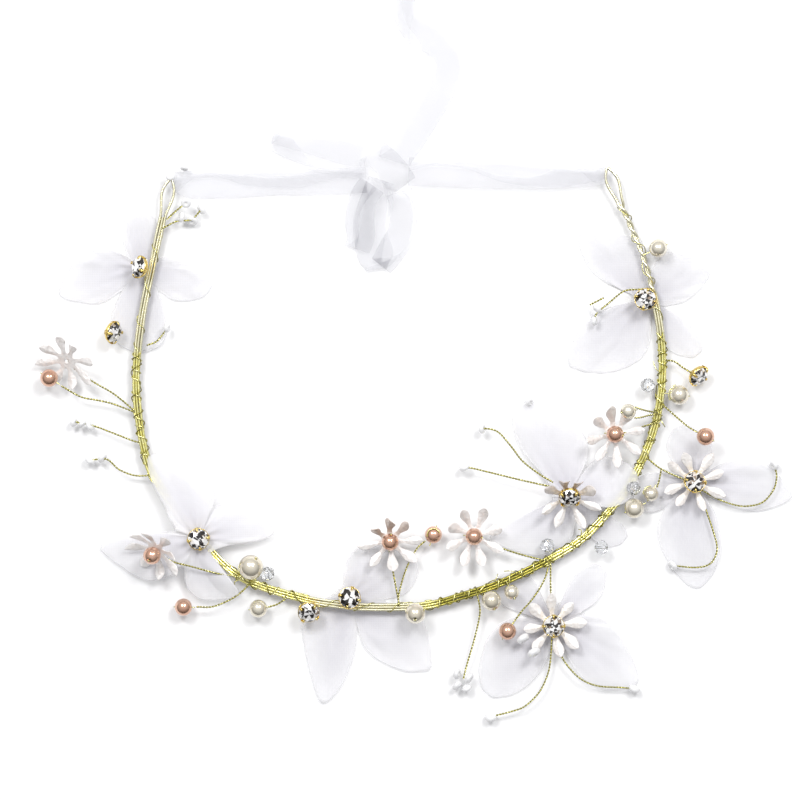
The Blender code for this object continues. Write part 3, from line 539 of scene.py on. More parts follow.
def sweep(make, curve, profile):
    return make("GeometryNodeCurveToMesh", {"Curve": curve, "Profile Curve": profile, "Fill Caps": True})


def mark_points(mesh, label, values):
    mesh.attributes.new(label, "FLOAT", "POINT").data.foreach_set("value", np.array(values, np.float32))


def mark_painted_side_shade(piece):
    """Marks how far each point of a wire turns away from above, as painted shade on its sides and between
    strands.
    """
    mesh = piece.data
    level = np.empty(len(mesh.vertices) * 3, np.float32)
    mesh.vertices.foreach_get("normal", level)
    side_shade_amounts = np.clip((0.74 - level[2::3]) / 0.6, 0.0, 1.0)
    mark_points(mesh, "painted_side_shade", side_shade_amounts)


def grow(name, tree, chains, material, sizes, marks=None):
    """Runs a tree on chains of points in plan millimetres and keeps the result as a plain mesh object."""
    points, edges = [], []
    for chain in chains:
        first = len(points)
        points += [tuple(plan(*p)) for p in chain]
        edges += [(i, i + 1) for i in range(first, len(points) - 1)]
    mesh = bpy.data.meshes.new(name)
    mesh.from_pydata(points, edges if marks is None else [], [])
    for label, kind, values in marks or ():
        attribute = mesh.attributes.new(label, kind, "POINT")
        field = "vector" if kind == "FLOAT_VECTOR" else "value"
        attribute.data.foreach_set(field, np.array(values, np.float32).ravel())
    piece = new_object(name, mesh)
    grower = piece.modifiers.new("grow", "NODES")
    grower.node_group = tree
    wanted = dict(sizes, Material=material)
    for socket in tree.interface.items_tree:
        if socket.in_out == "INPUT" and socket.name in wanted:
            grower[socket.identifier] = wanted[socket.name]
    bake(piece)
    # Every gold wire gets painted shade on its sides.
    if material == GOLD:
        mark_painted_side_shade(piece)
    return piece


def gold_wire(name, tree, chains, sizes, body, nodes=()):
    return hand_over(grow(name, tree, chains, GOLD, sizes), body, nodes, "gold_wire")


# %% The three wire trees
plain_wire, inputs, make = new_tree("plain_wire", {"Step": 0.0006, "Radius": 0.0003})
tube = sweep(make, even_curve(make, inputs), circle(make, 10, inputs["Radius"]))
close_tree(plain_wire, make, inputs["Material"], tube)

twisted_wire, inputs, make = new_tree("twisted_wire", {
    "Step": 0.00022, "Strand radius": 0.00017, "Spread": 0.00017, "Lay": 0.0019})
along = add_node(twisted_wire, "GeometryNodeSplineParameter").outputs["Length"]
turns = maths(twisted_wire, "MULTIPLY", maths(twisted_wire, "DIVIDE", along, inputs["Lay"]), TURN)
curve = make("GeometryNodeSetCurveTilt", {"Curve": even_curve(make, inputs), "Tilt": turns})
strand = circle(make, 6, inputs["Strand radius"])
strands = add_node(twisted_wire, "GeometryNodeJoinGeometry")
for side in (1.0, -1.0):
    shift = make("ShaderNodeCombineXYZ", {"X": maths(twisted_wire, "MULTIPLY", inputs["Spread"], side)})
    moved = make("GeometryNodeTransform", {"Geometry": strand, "Translation": shift})
    twisted_wire.links.new(moved, strands.inputs[0])
close_tree(twisted_wire, make, inputs["Material"], sweep(make, curve, strands.outputs[0]))

wound_wire, inputs, make = new_tree("wound_wire", {
    "Step": 0.00035, "Radius": 0.00023, "Turn length": 0.003, "Half width": 0.00155, "Half height": 0.0007,
    "Wobble": 1.2, "Seed": 1.0})
along = add_node(wound_wire, "GeometryNodeSplineParameter").outputs["Length"]
ripple = make("ShaderNodeTexNoise", {"Vector": make("GeometryNodeInputPosition"), "W": inputs["Seed"],
                                     "Scale": 130.0, "Detail": 1.0}, noise_dimensions="4D")
turns = maths(wound_wire, "MULTIPLY_ADD", ripple, inputs["Wobble"],
              maths(wound_wire, "DIVIDE", along, inputs["Turn length"]))
angle = maths(wound_wire, "MULTIPLY", turns, TURN)
across = make("ShaderNodeVectorMath", {0: make("GeometryNodeInputTangent"), 1: (0.0, 0.0, 1.0)},
              operation="CROSS_PRODUCT")
level = make("ShaderNodeVectorMath", {0: across}, operation="NORMALIZE")
width = maths(wound_wire, "MULTIPLY", maths(wound_wire, "COSINE", angle), inputs["Half width"])
height = maths(wound_wire, "MULTIPLY", maths(wound_wire, "SINE", angle), inputs["Half height"])
sideways = make("ShaderNodeVectorMath", {0: level, "Scale": width}, operation="SCALE")
upwards = make("ShaderNodeCombineXYZ", {"Z": height})
offset = make("ShaderNodeVectorMath", {0: sideways, 1: upwards}, operation="ADD")
curve = make("GeometryNodeSetPosition", {"Geometry": even_curve(make, inputs), "Offset": offset})
close_tree(wound_wire, make, inputs["Material"], sweep(make, curve, circle(make, 6, inputs["Radius"])))
print("wire trees:", [tree.name for tree in (plain_wire, twisted_wire, wound_wire)])

# %% [markdown]
# ## The core
# The core is one wire folded back on itself, with a third one laid between, so three wires run side by
# side. At each end the outer two open into a teardrop eyelet for the ribbon. Real wire is bent by hand, so
# the strands sway a little about the path. Near the right eyelet the strands are twisted round each other.

# %% Bend the core
VINE = (
    (-73.9, 57.0), (-76.9, 43.1), (-80.6, 24.7), (-82.2, 3.6), (-79.1, -17.8), (-73.4, -28.8),
    (-62.2, -43.4), (-49.6, -55.1), (-30.4, -61.8), (-10.6, -64.5), (7.7, -64.0), (18.4, -61.3),
    (31.2, -57.1), (46.7, -49.6), (57.3, -42.7), (66.4, -33.1), (72.8, -24.1), (79.7, -7.1), (81.8, 11.6),
    (79.9, 28.6), (75.6, 45.1), (68.8, 61.1),
)
EYELET_TIPS = {"left": (-71.3, 69.1), "right": (64.5, 72.5)}
CORE_HEIGHT = 3.8
STRAND_RADIUS = 0.43
STRAND_SPREAD = 0.8
TWISTED_END = 30.0
END_TURNS = 4
EYELET_HALF_WIDTH = 1.55

vine_points = np.array(smooth(VINE, 16))
vine_steps = np.linalg.norm(np.diff(vine_points, axis=0), axis=1)
vine_marks = np.concatenate([[0.0], np.cumsum(vine_steps)])
vine_length = vine_marks[-1]


def vine_at(along):
    return np.array([np.interp(along, vine_marks, vine_points[:, axis]) for axis in (0, 1)])


def vine_frame(along):
    """A place on the vine and the unit vector that points out of the crown there."""
    ahead = vine_at(min(along + 1.0, vine_length)) - vine_at(max(along - 1.0, 0.0))
    ahead /= np.linalg.norm(ahead)
    return vine_at(along), np.array([ahead[1], -ahead[0]])


def from_vine(x, y):
    """How far a place is from the vine, and how far along the vine its nearest point is."""
    gaps = np.linalg.norm(vine_points - np.array([x, y]), axis=1)
    nearest = int(np.argmin(gaps))
    return gaps[nearest], vine_marks[nearest]


def sway(along, strand):
    return 0.16 * noise.noise(Vector((along / 11.0, 7.0 * strand, 0.0)))


def strand_points(across, strand):
    found = []
    for along in np.arange(0.0, vine_length, 0.9):
        place, out = vine_frame(along)
        past = max(along - vine_length + TWISTED_END, 0.0) / TWISTED_END
        twist = TURN * END_TURNS * past
        across_here = across * (1 - 0.4 * math.sin(math.pi * past) ** 0.5)
        place = place + out * (across_here * math.cos(twist) + sway(along, strand))
        ripple = 0.25 * noise.noise(Vector((along / 14.0, 0.0, 5.0 + strand)))
        found.append((*place, CORE_HEIGHT + ripple + across_here * math.sin(twist)))
    return found


def eyelet(base, tip, count=14):
    """A teardrop loop: out on one side of the line from base to tip and back on the other."""
    base, tip = np.array(base), np.array(tip)
    aside = np.array([(tip - base)[1], -(tip - base)[0]]) / np.linalg.norm(tip - base)
    found = []
    for step in range(1, 2 * count):
        share = step / count if step <= count else 2 - step / count
        side = 1.0 if step <= count else -1.0
        half = STRAND_SPREAD * (1 - share) + EYELET_HALF_WIDTH * math.sin(math.pi * share**1.5)
        found.append((*(base + (tip - base) * share + aside * side * half), CORE_HEIGHT))
    return found


outer_strand = strand_points(STRAND_SPREAD, 0)
inner_strand = strand_points(-STRAND_SPREAD, 1)
right_loop = eyelet(VINE[-1], EYELET_TIPS["right"])
left_loop = eyelet(VINE[0], EYELET_TIPS["left"])
folded = outer_strand + right_loop + inner_strand[::-1] + left_loop
core = gold_wire("core_wire_folded", plain_wire, [folded + [folded[0]], strand_points(0.0, 2)],
                 {"Radius": STRAND_RADIUS * MM}, "vine", ["core_wire"])

# Stretches of the vine are counted from this place on its left side
STRETCH_START = (-81.6, -9.2)
_, left_side = from_vine(*STRETCH_START)
PALE_STRETCHES = ((-70.0, -24.0), (80.0, 114.0), (240.0, 300.0))
# The olive stretch is painted shade on the core.
PAINTED_SHADE_STRETCHES = ((119.0, 158.0),)


def in_stretches(along, stretches, fade=4.0):
    """1 inside the stretches and 0 away from them, with a soft change at their ends."""
    depth = max(min(along - low, high - along) for low, high in stretches)
    return min(max(depth / fade + 0.5, 0.0), 1.0)


pale, painted_olive_shade = [], []
for vertex in core.data.vertices:
    spot = on_plan(vertex.co)
    along = from_vine(spot.x, spot.y)[1] - left_side
    pale.append(0.8 * in_stretches(along, PALE_STRETCHES))
    painted_olive_shade.append(0.9 * in_stretches(along, PAINTED_SHADE_STRETCHES))
mark_points(core.data, "pale", pale)
mark_points(core.data, "painted_olive_shade", painted_olive_shade)
print("core:", triangles(core), "triangles, vine length", round(vine_length, 1), "mm")

# %% [markdown]
# ## The winding
# Thin wire is wound round the core by hand: close and uneven where sprigs are bound in, and open between.
# The close stretches have two layers, with turn lengths and seeds of their own, and the open ones have one.
# Short loose ends stick out where a wire was cut.

# %% Wind the thin wire
CLOSE_STRETCHES = ((-24.0, 12.0), (56.0, 80.0), (116.0, 186.0), (194.0, 242.0))
OPEN_STRETCHES = ((-62.0, -24.0), (12.0, 56.0), (80.0, 116.0), (186.0, 194.0), (242.0, 292.0))


def stretch_points(low, high):
    low = max(low + left_side, 0.5)
    high = min(high + left_side, vine_length - 0.5)
    return [(*vine_at(along), CORE_HEIGHT) for along in np.arange(low, high, 0.8)]


# Each winding: the stretches it covers, how much painted olive shade darkens it, its wobble and seed, and its
# lengths in millimetres
WINDINGS = {
    "close": (CLOSE_STRETCHES, 0.0, 2.6, 3.0, {"Turn length": 4.6, "Half width": 1.42, "Half height": 0.8}),
    "cross": (CLOSE_STRETCHES, 0.95, 2.6, 8.0,
              {"Turn length": -6.0, "Radius": 0.18, "Half width": 1.6, "Half height": 1.08}),
    "open": (OPEN_STRETCHES, 0.35, 1.4, 5.0,
             {"Turn length": 11.0, "Radius": 0.15, "Half width": 1.42, "Half height": 0.8}),
}
wound = 0
for kind, (stretches, painted_shade_depth, wobble, seed, lengths) in WINDINGS.items():
    sizes = {label: length * MM for label, length in lengths.items()}
    winding = gold_wire("winding_" + kind, wound_wire, [stretch_points(*s) for s in stretches],
                        {"Wobble": wobble, "Seed": seed, **sizes}, "vine",
                        ["binding_wire"] if kind == "close" else ())
    # Painted shade: the cross and open windings are darkened towards olive.
    if painted_shade_depth:
        mark_points(winding.data, "painted_olive_shade", np.full(len(winding.data.vertices), painted_shade_depth))
    wound += triangles(winding)

LOOSE_ENDS = ((57.0, 1), (139.0, -1), (146.0, -1), (170.0, -1), (214.0, 1), (229.0, -1))
ends = []
for count, (along, side) in enumerate(LOOSE_ENDS):
    place, out = vine_frame(along + left_side)
    ahead = np.array([-out[1], out[0]]) * (1 if count % 2 else -1)
    low = place + out * side * 1.2
    mid = place + out * side * 2.2 + ahead * 0.9
    tip = place + out * side * 3.0 + ahead * (0.4 + 1.3 * (count % 3))
    ends.append(smooth([(*low, CORE_HEIGHT + 0.9), (*mid, CORE_HEIGHT + 1.1), (*tip, CORE_HEIGHT + 0.5)], 4))
loose = gold_wire("loose_wire_ends", plain_wire, ends, {"Radius": 0.15 * MM, "Step": 0.4 * MM}, "vine")
print("winding:", wound + triangles(loose), "triangles")

# %% [markdown]
# ## Sprig wires
# Each sprig is a pair of thin wires twisted together from the vine to what it carries. A route is a few
# points with heights, and all the routes of one body grow into one mesh, because they move together. The
# fixed twigs and the long stamens that start on the vine belong to the vine's own body.


# %% Twist the sprigs
ROUTES = {
    "sprig_bloom_left": (
        [(-82.6, -3.4, 4.4), (-89.1, 1.9, 4.6), (-95.9, 5.9, 5.0), (-101.6, 10.0, 5.8), (-103.2, 12.2, 6.9)],
        [(-82.6, -3.8, 4.2), (-89.4, -1.2, 4.4), (-94.6, 0.0, 4.7), (-99.4, 1.0, 5.1), (-105.4, 4.4, 5.9)],
    ),
    "sprig_buds_left_upper": ([(-80.6, -13.2, 3.9), (-82.9, -12.8, 4.0), (-89.1, -10.4, 4.2),
                               (-95.3, -8.1, 3.8), (-101.6, -6.7, 3.4)],),
    "sprig_buds_left_lower": ([(-77.4, -23.2, 3.9), (-79.4, -23.6, 4.0), (-83.2, -23.4, 4.0),
                               (-87.6, -21.6, 3.9), (-91.5, -18.4, 3.6), (-96.6, -18.8, 3.4)],),
    "sprig_bloom_lower_left": (
        [(-48.4, -56.2, 4.4), (-51.4, -54.9, 5.2), (-57.4, -53.8, 6.8), (-64.4, -51.8, 8.2),
         (-70.9, -50.0, 8.8), (-75.0, -47.0, 9.6)],
        [(-46.4, -56.8, 4.4), (-49.2, -59.6, 5.0), (-52.6, -62.0, 5.2), (-58.2, -64.3, 5.1),
         (-63.4, -64.4, 5.0)],
    ),
    "sprig_bloom_front": (
        [(-0.4, -64.0, 4.4), (-0.7, -61.3, 4.4), (-1.9, -55.0, 3.8), (-3.0, -48.6, 3.6), (-3.1, -45.6, 4.2)],
        [(-0.2, -64.0, 4.6), (-0.4, -60.6, 4.7), (1.9, -52.6, 4.6), (5.0, -46.6, 4.7), (7.9, -43.8, 4.8)],
    ),
    "sprig_bloom_front_right": ([(46.4, -50.2, 4.4), (41.8, -49.2, 4.6), (36.0, -47.6, 4.6),
                                 (31.4, -46.0, 4.8), (26.0, -43.7, 5.0)],),
    "sprig_buds_front": ([(23.6, -59.8, 4.2), (24.6, -63.0, 4.4), (24.8, -67.0, 4.4), (23.1, -74.7, 4.0),
                          (20.8, -82.6, 3.6), (19.8, -86.8, 3.2)],),
    "sprig_blossom_front": (
        [(46.9, -49.8, 4.2), (46.9, -53.0, 4.0), (46.9, -57.5, 3.9), (47.2, -64.0, 3.4), (47.8, -69.6, 2.9)],
        [(46.6, -50.0, 4.4), (45.0, -55.8, 4.8), (41.6, -61.4, 5.6), (37.6, -66.0, 6.3), (35.0, -69.6, 6.5)],
        [(48.4, -72.0, 3.2), (49.6, -78.0, 3.4), (51.9, -82.4, 3.6), (56.3, -86.9, 3.8), (61.6, -89.1, 3.6),
         (68.6, -89.6, 3.2), (72.8, -90.0, 2.8)],
        [(47.4, -72.0, 3.2), (46.9, -80.9, 3.4), (45.9, -85.8, 3.6), (43.4, -91.0, 3.8), (39.1, -95.3, 3.6),
         (35.0, -97.0, 3.4), (28.1, -98.8, 2.8)],
    ),
    "sprig_blossom_right": (
        [(76.9, -18.0, 4.0), (80.0, -20.6, 3.8), (83.1, -22.4, 3.6), (87.6, -24.4, 3.2), (91.0, -25.4, 2.9)],
        [(92.6, -27.2, 3.2), (98.5, -30.6, 3.4), (103.2, -32.4, 3.6), (107.5, -33.1, 3.8),
         (112.8, -32.0, 3.6), (116.4, -28.0, 3.4), (117.4, -23.6, 3.2), (116.6, -20.3, 2.8)],
        [(93.2, -28.0, 3.2), (95.4, -34.4, 3.4), (97.5, -40.6, 3.6), (98.8, -46.4, 3.8), (96.9, -50.8, 3.6),
         (92.4, -52.2, 3.4), (85.0, -51.6, 2.8)],
        [(81.4, -21.6, 4.0), (80.8, -24.6, 4.6), (80.0, -27.2, 5.0)],
    ),
    "sprig_rose_right": ([(80.8, -0.6, 4.6), (86.3, -5.6, 7.0), (89.6, -8.4, 8.8), (92.6, -10.2, 9.8)],),
    "sprig_bloom_right": (
        [(79.8, -7.0, 4.6), (75.3, -8.4, 5.6), (71.3, -9.8, 7.4), (68.6, -10.4, 8.6)],
        [(80.2, -4.0, 4.8), (77.6, -3.6, 7.4), (75.0, -3.0, 10.0), (72.8, -2.2, 11.6)],
        [(80.2, -4.4, 4.8), (77.4, -4.8, 7.4), (74.8, -5.4, 10.0), (72.6, -5.6, 11.6)],
    ),
    "sprig_stone_right": ([(81.9, 12.4, 4.0), (85.4, 12.0, 3.9), (88.0, 10.2, 3.8), (90.6, 8.6, 3.9)],),
}
TWIGS = (
    [(48.1, -27.2, 7.2), (38.1, -25.0, 6.6), (30.3, -23.1, 6.0), (22.8, -21.3, 5.2), (20.0, -20.9, 4.4)],
    [(47.6, -25.6, 7.3), (43.4, -23.1, 7.2), (38.1, -19.0, 6.6), (35.0, -15.0, 6.2), (31.3, -10.6, 5.6),
     (28.8, -9.2, 5.0), (25.6, -8.8, 4.6)],
    [(-35.2, -61.6, 4.4), (-38.2, -63.6, 4.8), (-41.0, -64.4, 5.0)],
    [(-72.6, 56.2, 4.6), (-70.0, 58.6, 5.2), (-66.6, 61.3, 5.5)],
    [(-74.0, 53.4, 4.4), (-69.6, 55.6, 4.4), (-65.0, 56.2, 4.2), (-62.0, 59.2, 4.0)],
    [(-78.9, 17.0, 4.4), (-75.6, 18.4, 4.6), (-72.5, 22.3, 5.0)],
    [(78.2, 34.6, 4.6), (74.0, 34.4, 5.0), (69.6, 33.8, 5.4), (65.0, 30.2, 5.2), (61.3, 27.0, 4.6),
     (60.4, 24.6, 4.4)],
    [(59.1, 29.6, 4.8), (63.4, 31.8, 5.2)],
)
for body, routes in ROUTES.items():
    gold_wire(body + "_wire", twisted_wire, [smooth(route, 6) for route in routes], {}, body, [body])
gold_wire("fixed_twigs", twisted_wire, [smooth(route, 6) for route in TWIGS], {}, "vine")

# %% [markdown]
# ## Pearls
# A drilled pearl is a turned shape: a ball with a straight hole and a soft edge at each end of it. Turning
# one profile about the hole's axis gives an even, closed mesh. The nine pearls that spin take their axis
# from the joint in the record. Four more have an axis given here, and the others point away from the vine,
# as the wire that holds them does.


# %% Turn the pearls


def turned(profile, steps, centre, axis, loop):
    """Points and faces of a profile of (radius, height) turned about an axis through a centre."""
    turn = UP.rotation_difference(Vector(axis).normalized()).to_matrix()
    points, faces = [], []
    for radius, height in profile:
        for step in range(steps):
            angle = TURN * step / steps
            local = Vector((radius * math.cos(angle), radius * math.sin(angle), height))
            points.append(Vector(centre) + turn @ local)
    rings = len(profile)
    for ring in range(rings if loop else rings - 1):
        following = (ring + 1) % rings
        for step in range(steps):
            aside = (step + 1) % steps
            faces.append((ring * steps + step, ring * steps + aside,
                          following * steps + aside, following * steps + step))
    return points, faces


PEARL_BORE = 0.5
PEARL_RINGS = 24
PEARL_STEPS = 40


def radius_of(node):
    low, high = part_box(node)
    return min(high - low) / 2 / MM


def pearl(name, node, axis, material, slot):
    radius = radius_of(node)
    edge = math.asin((PEARL_BORE + 0.18) / radius)
    angles = np.linspace(edge, math.pi - edge, PEARL_RINGS)
    profile = [(radius * math.sin(a), radius * math.cos(a)) for a in angles]
    depth = radius * math.cos(edge) - 0.12
    profile += [(PEARL_BORE, -depth), (PEARL_BORE, 0.0), (PEARL_BORE, depth)]
    mesh = mesh_of(name, *turned(profile, PEARL_STEPS, middle(node), axis, True), material)
    return hand_over(new_object(name, mesh), body_of(node), [node], slot)


spin_axes = {joint["child"]: joint["axis"] for joint in frame["joints"] if joint.get("continuous")}
FLOWER_PEARL_AXES = {
    "rose_pearl_2": (-0.3, -0.5, 0.85), "rose_pearl_4": (0.1, 0.86, 0.5),
    "rose_pearl_6": (0.88, -0.1, 0.46), "rose_pearl_8": (0.9, -0.1, 0.42),
}
pearls = {}
for node in sorted(frame["nodes"]):
    if "_pearl_" not in node:
        continue
    centre = middle(node)
    axis = spin_axes.get(node) or FLOWER_PEARL_AXES.get(node)
    if axis is None:
        _, along = from_vine(centre[0], centre[1])
        root = vine_at(along)
        axis = (centre[0] - root[0], centre[1] - root[1], (centre[2] - CORE_HEIGHT) * 0.6)
    kind = "cream_pearl" if node.startswith("cream") else "rose_pearl"
    pearls[node] = (Vector(centre), Vector(axis).normalized())
    pearl(node + "_turned", node, axis, CREAM if kind == "cream_pearl" else ROSE, kind)
print("pearls:", len(pearls))

# %% [markdown]
# ## Wire through the pearls
# The wire runs through each pearl and is bent into a small loop, so that the pearl can't slide off. It
# belongs to whatever carries the pearl and not to the pearl, which turns on it.

# %% Thread the pearls
carriers = {joint["child"]: joint["parent"] for joint in frame["joints"] if joint.get("continuous")}
threads = {}
for node, (centre, axis) in pearls.items():
    radius = radius_of(node)
    body = carriers.get(node) or body_of(node)
    tip = centre + axis * (radius + 0.05)
    bend = (axis * axis.z - UP).normalized() if abs(axis.z) < 0.95 else Vector((1, 0, 0))
    loop = [tip + axis * 0.22 * math.sin(a) + bend * 0.22 * (1 - math.cos(a))
            for a in np.linspace(0.0, 4.0, 6)]
    start = centre - axis * (radius + 1.0)
    threads.setdefault(body, []).append([tuple(p) for p in [start, centre, tip] + loop[1:]])
    if body == "vine" and node != "cream_pearl_2":
        _, along = from_vine(centre.x, centre.y)
        root = vine_at(along)
        threads[body][-1].insert(0, (*root, CORE_HEIGHT + 0.6))

# Wire that goes round three of the pearls as well: the turns in radians where it starts and ends
HUGS = {"cream_pearl_9": (1.9, 3.7), "cream_pearl_7": (1.6, 3.2), "rose_pearl_5": (0.3, 3.4)}
for node, (first, last) in HUGS.items():
    centre, _ = pearls[node]
    radius = radius_of(node) + 0.25
    lift = 2.2 if node == "rose_pearl_5" else 0.4
    reach = math.sqrt(radius**2 - lift**2)
    ring = [(centre.x + reach * math.cos(a), centre.y + reach * math.sin(a), centre.z + lift)
            for a in np.linspace(first, last, 18)]
    threads[carriers.get(node) or body_of(node)].append(ring)
for body, chains in threads.items():
    gold_wire(body + "_threads", plain_wire, chains, {"Radius": 0.16 * MM, "Step": 0.3 * MM}, body)

# %% [markdown]
# ## Seed beads and crystals
# A seed bead is a short ring of glass with rounded walls. The tree makes one ring from two circles and puts
# a copy on each point, turned and scaled by attributes. The crystals are faceted rounds, so they get few
# steps and flat facets.

# %% A tree for beads
bead_tree, inputs, make = new_tree("seed_beads", {"Ring radius": 0.0008, "Wall radius": 0.00076})
ring = circle(make, 20, inputs["Ring radius"])
wall = circle(make, 12, inputs["Wall radius"])
bead = make("GeometryNodeCurveToMesh", {"Curve": ring, "Profile Curve": wall})
aim = make("GeometryNodeInputNamedAttribute", {"Name": "aim"}, data_type="FLOAT_VECTOR")
size = make("GeometryNodeInputNamedAttribute", {"Name": "size"}, data_type="FLOAT")
turn = make("FunctionNodeAlignRotationToVector", {"Vector": aim}, axis="Z")
copies = make("GeometryNodeInstanceOnPoints",
              {"Points": inputs["Path"], "Instance": bead, "Rotation": turn, "Scale": size})
close_tree(bead_tree, make, inputs["Material"], copies)

# %% String the beads
# Each bead on the body that carries it: its place on the plan, its height and its size
SEEDS = {
    "vine": (
        (-66.6, 61.3, 5.5, 0.9), (-61.9, 59.4, 4.0, 1.0), (-68.1, 57.0, 4.2, 1.0), (-64.7, 55.9, 3.0, 1.0),
        (-71.6, 69.6, 5.6, 0.8), (-67.2, 72.3, 3.6, 0.8), (-72.5, 22.5, 5.0, 0.9), (61.3, 28.4, 4.6, 0.9),
        (60.6, 24.6, 4.4, 0.8), (20.0, -20.9, 4.4, 1.0), (25.6, -8.9, 4.6, 0.9), (40.3, -0.6, 3.4, 0.8),
    ),
    "sprig_buds_left_upper": ((-101.6, -6.9, 3.4, 0.9), (-99.0, -7.4, 3.7, 0.8), (-96.6, -8.1, 3.8, 0.9)),
    "sprig_buds_left_lower": ((-92.7, -18.0, 3.6, 1.0), (-96.6, -18.8, 3.4, 1.0)),
    "sprig_buds_front": ((17.8, -85.3, 4.0, 1.0), (21.6, -86.6, 4.2, 1.0), (17.8, -89.0, 3.4, 1.0),
                         (20.8, -89.8, 3.4, 0.9)),
    "sprig_blossom_front": ((73.0, -90.0, 2.6, 1.05), (28.3, -98.8, 2.6, 1.05), (38.2, -74.2, 6.6, 1.25),
                            (41.6, -78.4, 7.6, 1.3)),
    "sprig_blossom_right": ((116.7, -20.3, 2.6, 1.0), (85.0, -51.6, 2.6, 1.05)),
}
SEED_SCALE = 1.12
for body, beads in SEEDS.items():
    aims = [Vector((math.sin(5.0 * x), math.cos(3.0 * y), 0.35)).normalized() for x, y, _, _ in beads]
    marks = (("aim", "FLOAT_VECTOR", [tuple(a) for a in aims]),
             ("size", "FLOAT", [SEED_SCALE * b[3] for b in beads]))
    strung = grow(body + "_seeds", bead_tree, [[b[:3] for b in beads]], SEED_WHITE, {}, marks)
    hand_over(strung, body)
print("seed beads:", sum(len(beads) for beads in SEEDS.values()))

# %% Cut the crystals
CRYSTALS = ((-41.2, -54.0, 6.0), (77.0, 4.6, 6.2), (62.6, -45.8, 6.0), (45.8, -45.2, 6.0), (72.6, -27.4, 8.6))
CRYSTAL_STEPS = 9
CRYSTAL_PROFILE = ((0.5, 2.0), (1.3, 1.75), (2.05, 0.95), (2.3, 0.0), (2.05, -0.95), (1.3, -1.75),
                   (0.5, -2.0))
for count, place in enumerate(CRYSTALS, start=1):
    axis = (math.cos(2.1 * count), math.sin(2.1 * count), 0.4)
    points, faces = turned(CRYSTAL_PROFILE, CRYSTAL_STEPS, place, axis, True)
    name = f"crystal_bead_{count}"
    crystal = new_object(name, mesh_of(name, points, faces, CRYSTAL, False))
    hand_over(crystal, "vine")
print("crystals:", len(CRYSTALS))

# %% [markdown]
# ## Set stones
# Each stone sits in a stamped cup whose four claws are bent over its edge. The stone is cut with a table,
# eight star facets, eight kites and sixteen small facets round the edge, and comes to a point below. It is
# shaded flat, because a facet is a plane. The cup is turned and the claws are swept strips.

# %% Cut one stone
STONE_RADIUS = 3.25
STONE_LEVELS = {
    "table": (1.7, 3.3), "crown": (2.6, 2.86), "edge": (STONE_RADIUS, 2.0), "belt": (STONE_RADIUS, 1.8)}


def ring_points(level, count, phase):
    radius, height = STONE_LEVELS[level]
    angles = [TURN * (i + phase) / count for i in range(count)]
    return [Vector((radius * math.cos(a), radius * math.sin(a), height)) for a in angles]


def stone_shape():
    table_ring = ring_points("table", 8, 0.0)
    crown_ring = ring_points("crown", 8, 0.5)
    edge_ring = ring_points("edge", 16, 0.0)
    belt_ring = ring_points("belt", 16, 0.0)
    points = table_ring + crown_ring + edge_ring + belt_ring
    points += [Vector((0, 0, 0.45)), Vector((0, 0, STONE_LEVELS["table"][1]))]
    faces = []
    for i in range(8):
        j = (i + 1) % 8
        faces.append((i, j, 49))
        faces.append((i, 8 + i, j))
        faces.append((i, 8 + (i - 1) % 8, 16 + 2 * i, 8 + i))
        faces.append((8 + i, 16 + 2 * i, 16 + 2 * i + 1))
        faces.append((8 + i, 16 + 2 * i + 1, 16 + (2 * i + 2) % 16))
    for i in range(16):
        j = (i + 1) % 16
        faces.append((16 + i, 32 + i, 32 + j, 16 + j))
        faces.append((32 + i, 48, 32 + j))
    return points, faces


CLAW_PATH = ((3.2, 0.5), (3.5, 1.3), (3.6, 2.1), (3.42, 2.7), (2.95, 3.05), (2.5, 3.25))
CLAW_WIDTHS = (1.3, 1.15, 1.0, 0.9, 0.75, 0.4)
CLAW_THICKNESS = 0.34
CUP_PROFILE = ((0.0, 0.0), (1.6, 0.0), (2.5, 0.1), (3.1, 0.6), (3.36, 1.2), (3.42, 1.8), (3.28, 1.85),
               (3.1, 1.5), (2.7, 1.1), (1.9, 0.45), (0.0, 0.3))


def claw_shape(angle):
    out = Vector((math.cos(angle), math.sin(angle), 0))
    aside = Vector((-math.sin(angle), math.cos(angle), 0))
    points, faces = [], []
    path = [out * r + UP * z for r, z in CLAW_PATH]
    for count, (place, width) in enumerate(zip(path, CLAW_WIDTHS)):
        ahead = path[min(count + 1, len(path) - 1)] - path[max(count - 1, 0)]
        outside = aside.cross(ahead).normalized() * -CLAW_THICKNESS / 2
        half = aside * width / 2
        points += [place - half - outside * 0.4, place + half - outside * 0.4,
                   place + half * 0.7 + outside, place - half * 0.7 + outside]
    for row in range(len(path) - 1):
        for i in range(4):
            j = (i + 1) % 4
            faces.append((4 * row + i, 4 * row + j, 4 * row + 4 + j, 4 * row + 4 + i))
    last = 4 * (len(path) - 1)
    faces += [(3, 2, 1, 0), (last, last + 1, last + 2, last + 3)]
    return points, faces


# %% Set the ten stones
STONE_AXES = {
    1: (-0.95, 0.1, 0.75), 2: (1.0, -0.3, 0.62), 3: (0.05, -0.08, 1.0), 4: (0.1, -0.45, 1.0),
    5: (0.0, 0.06, 1.0), 6: (0.0, -0.7, 0.9), 7: (0.2, 0.25, 1.0), 8: (0.0, 0.0, 1.0),
    9: (0.0, 0.08, 1.0), 10: (0.75, -0.85, 0.75),
}
# From a cup's foot to the middle of its CAD solid, along its axis
SEAT = 1.65
LOW_SEAT = 1.6
STONE_TURNS = {1: 20, 2: 40, 3: 55, 4: 10, 5: 30, 6: 5, 7: 40, 8: 45, 9: 30, 10: 15}


def placed(points, foot, axis, spin):
    turn = UP.rotation_difference(Vector(axis).normalized()).to_matrix() @ Matrix.Rotation(spin, 3, "Z")
    return [Vector(foot) + turn @ Vector(p) for p in points]


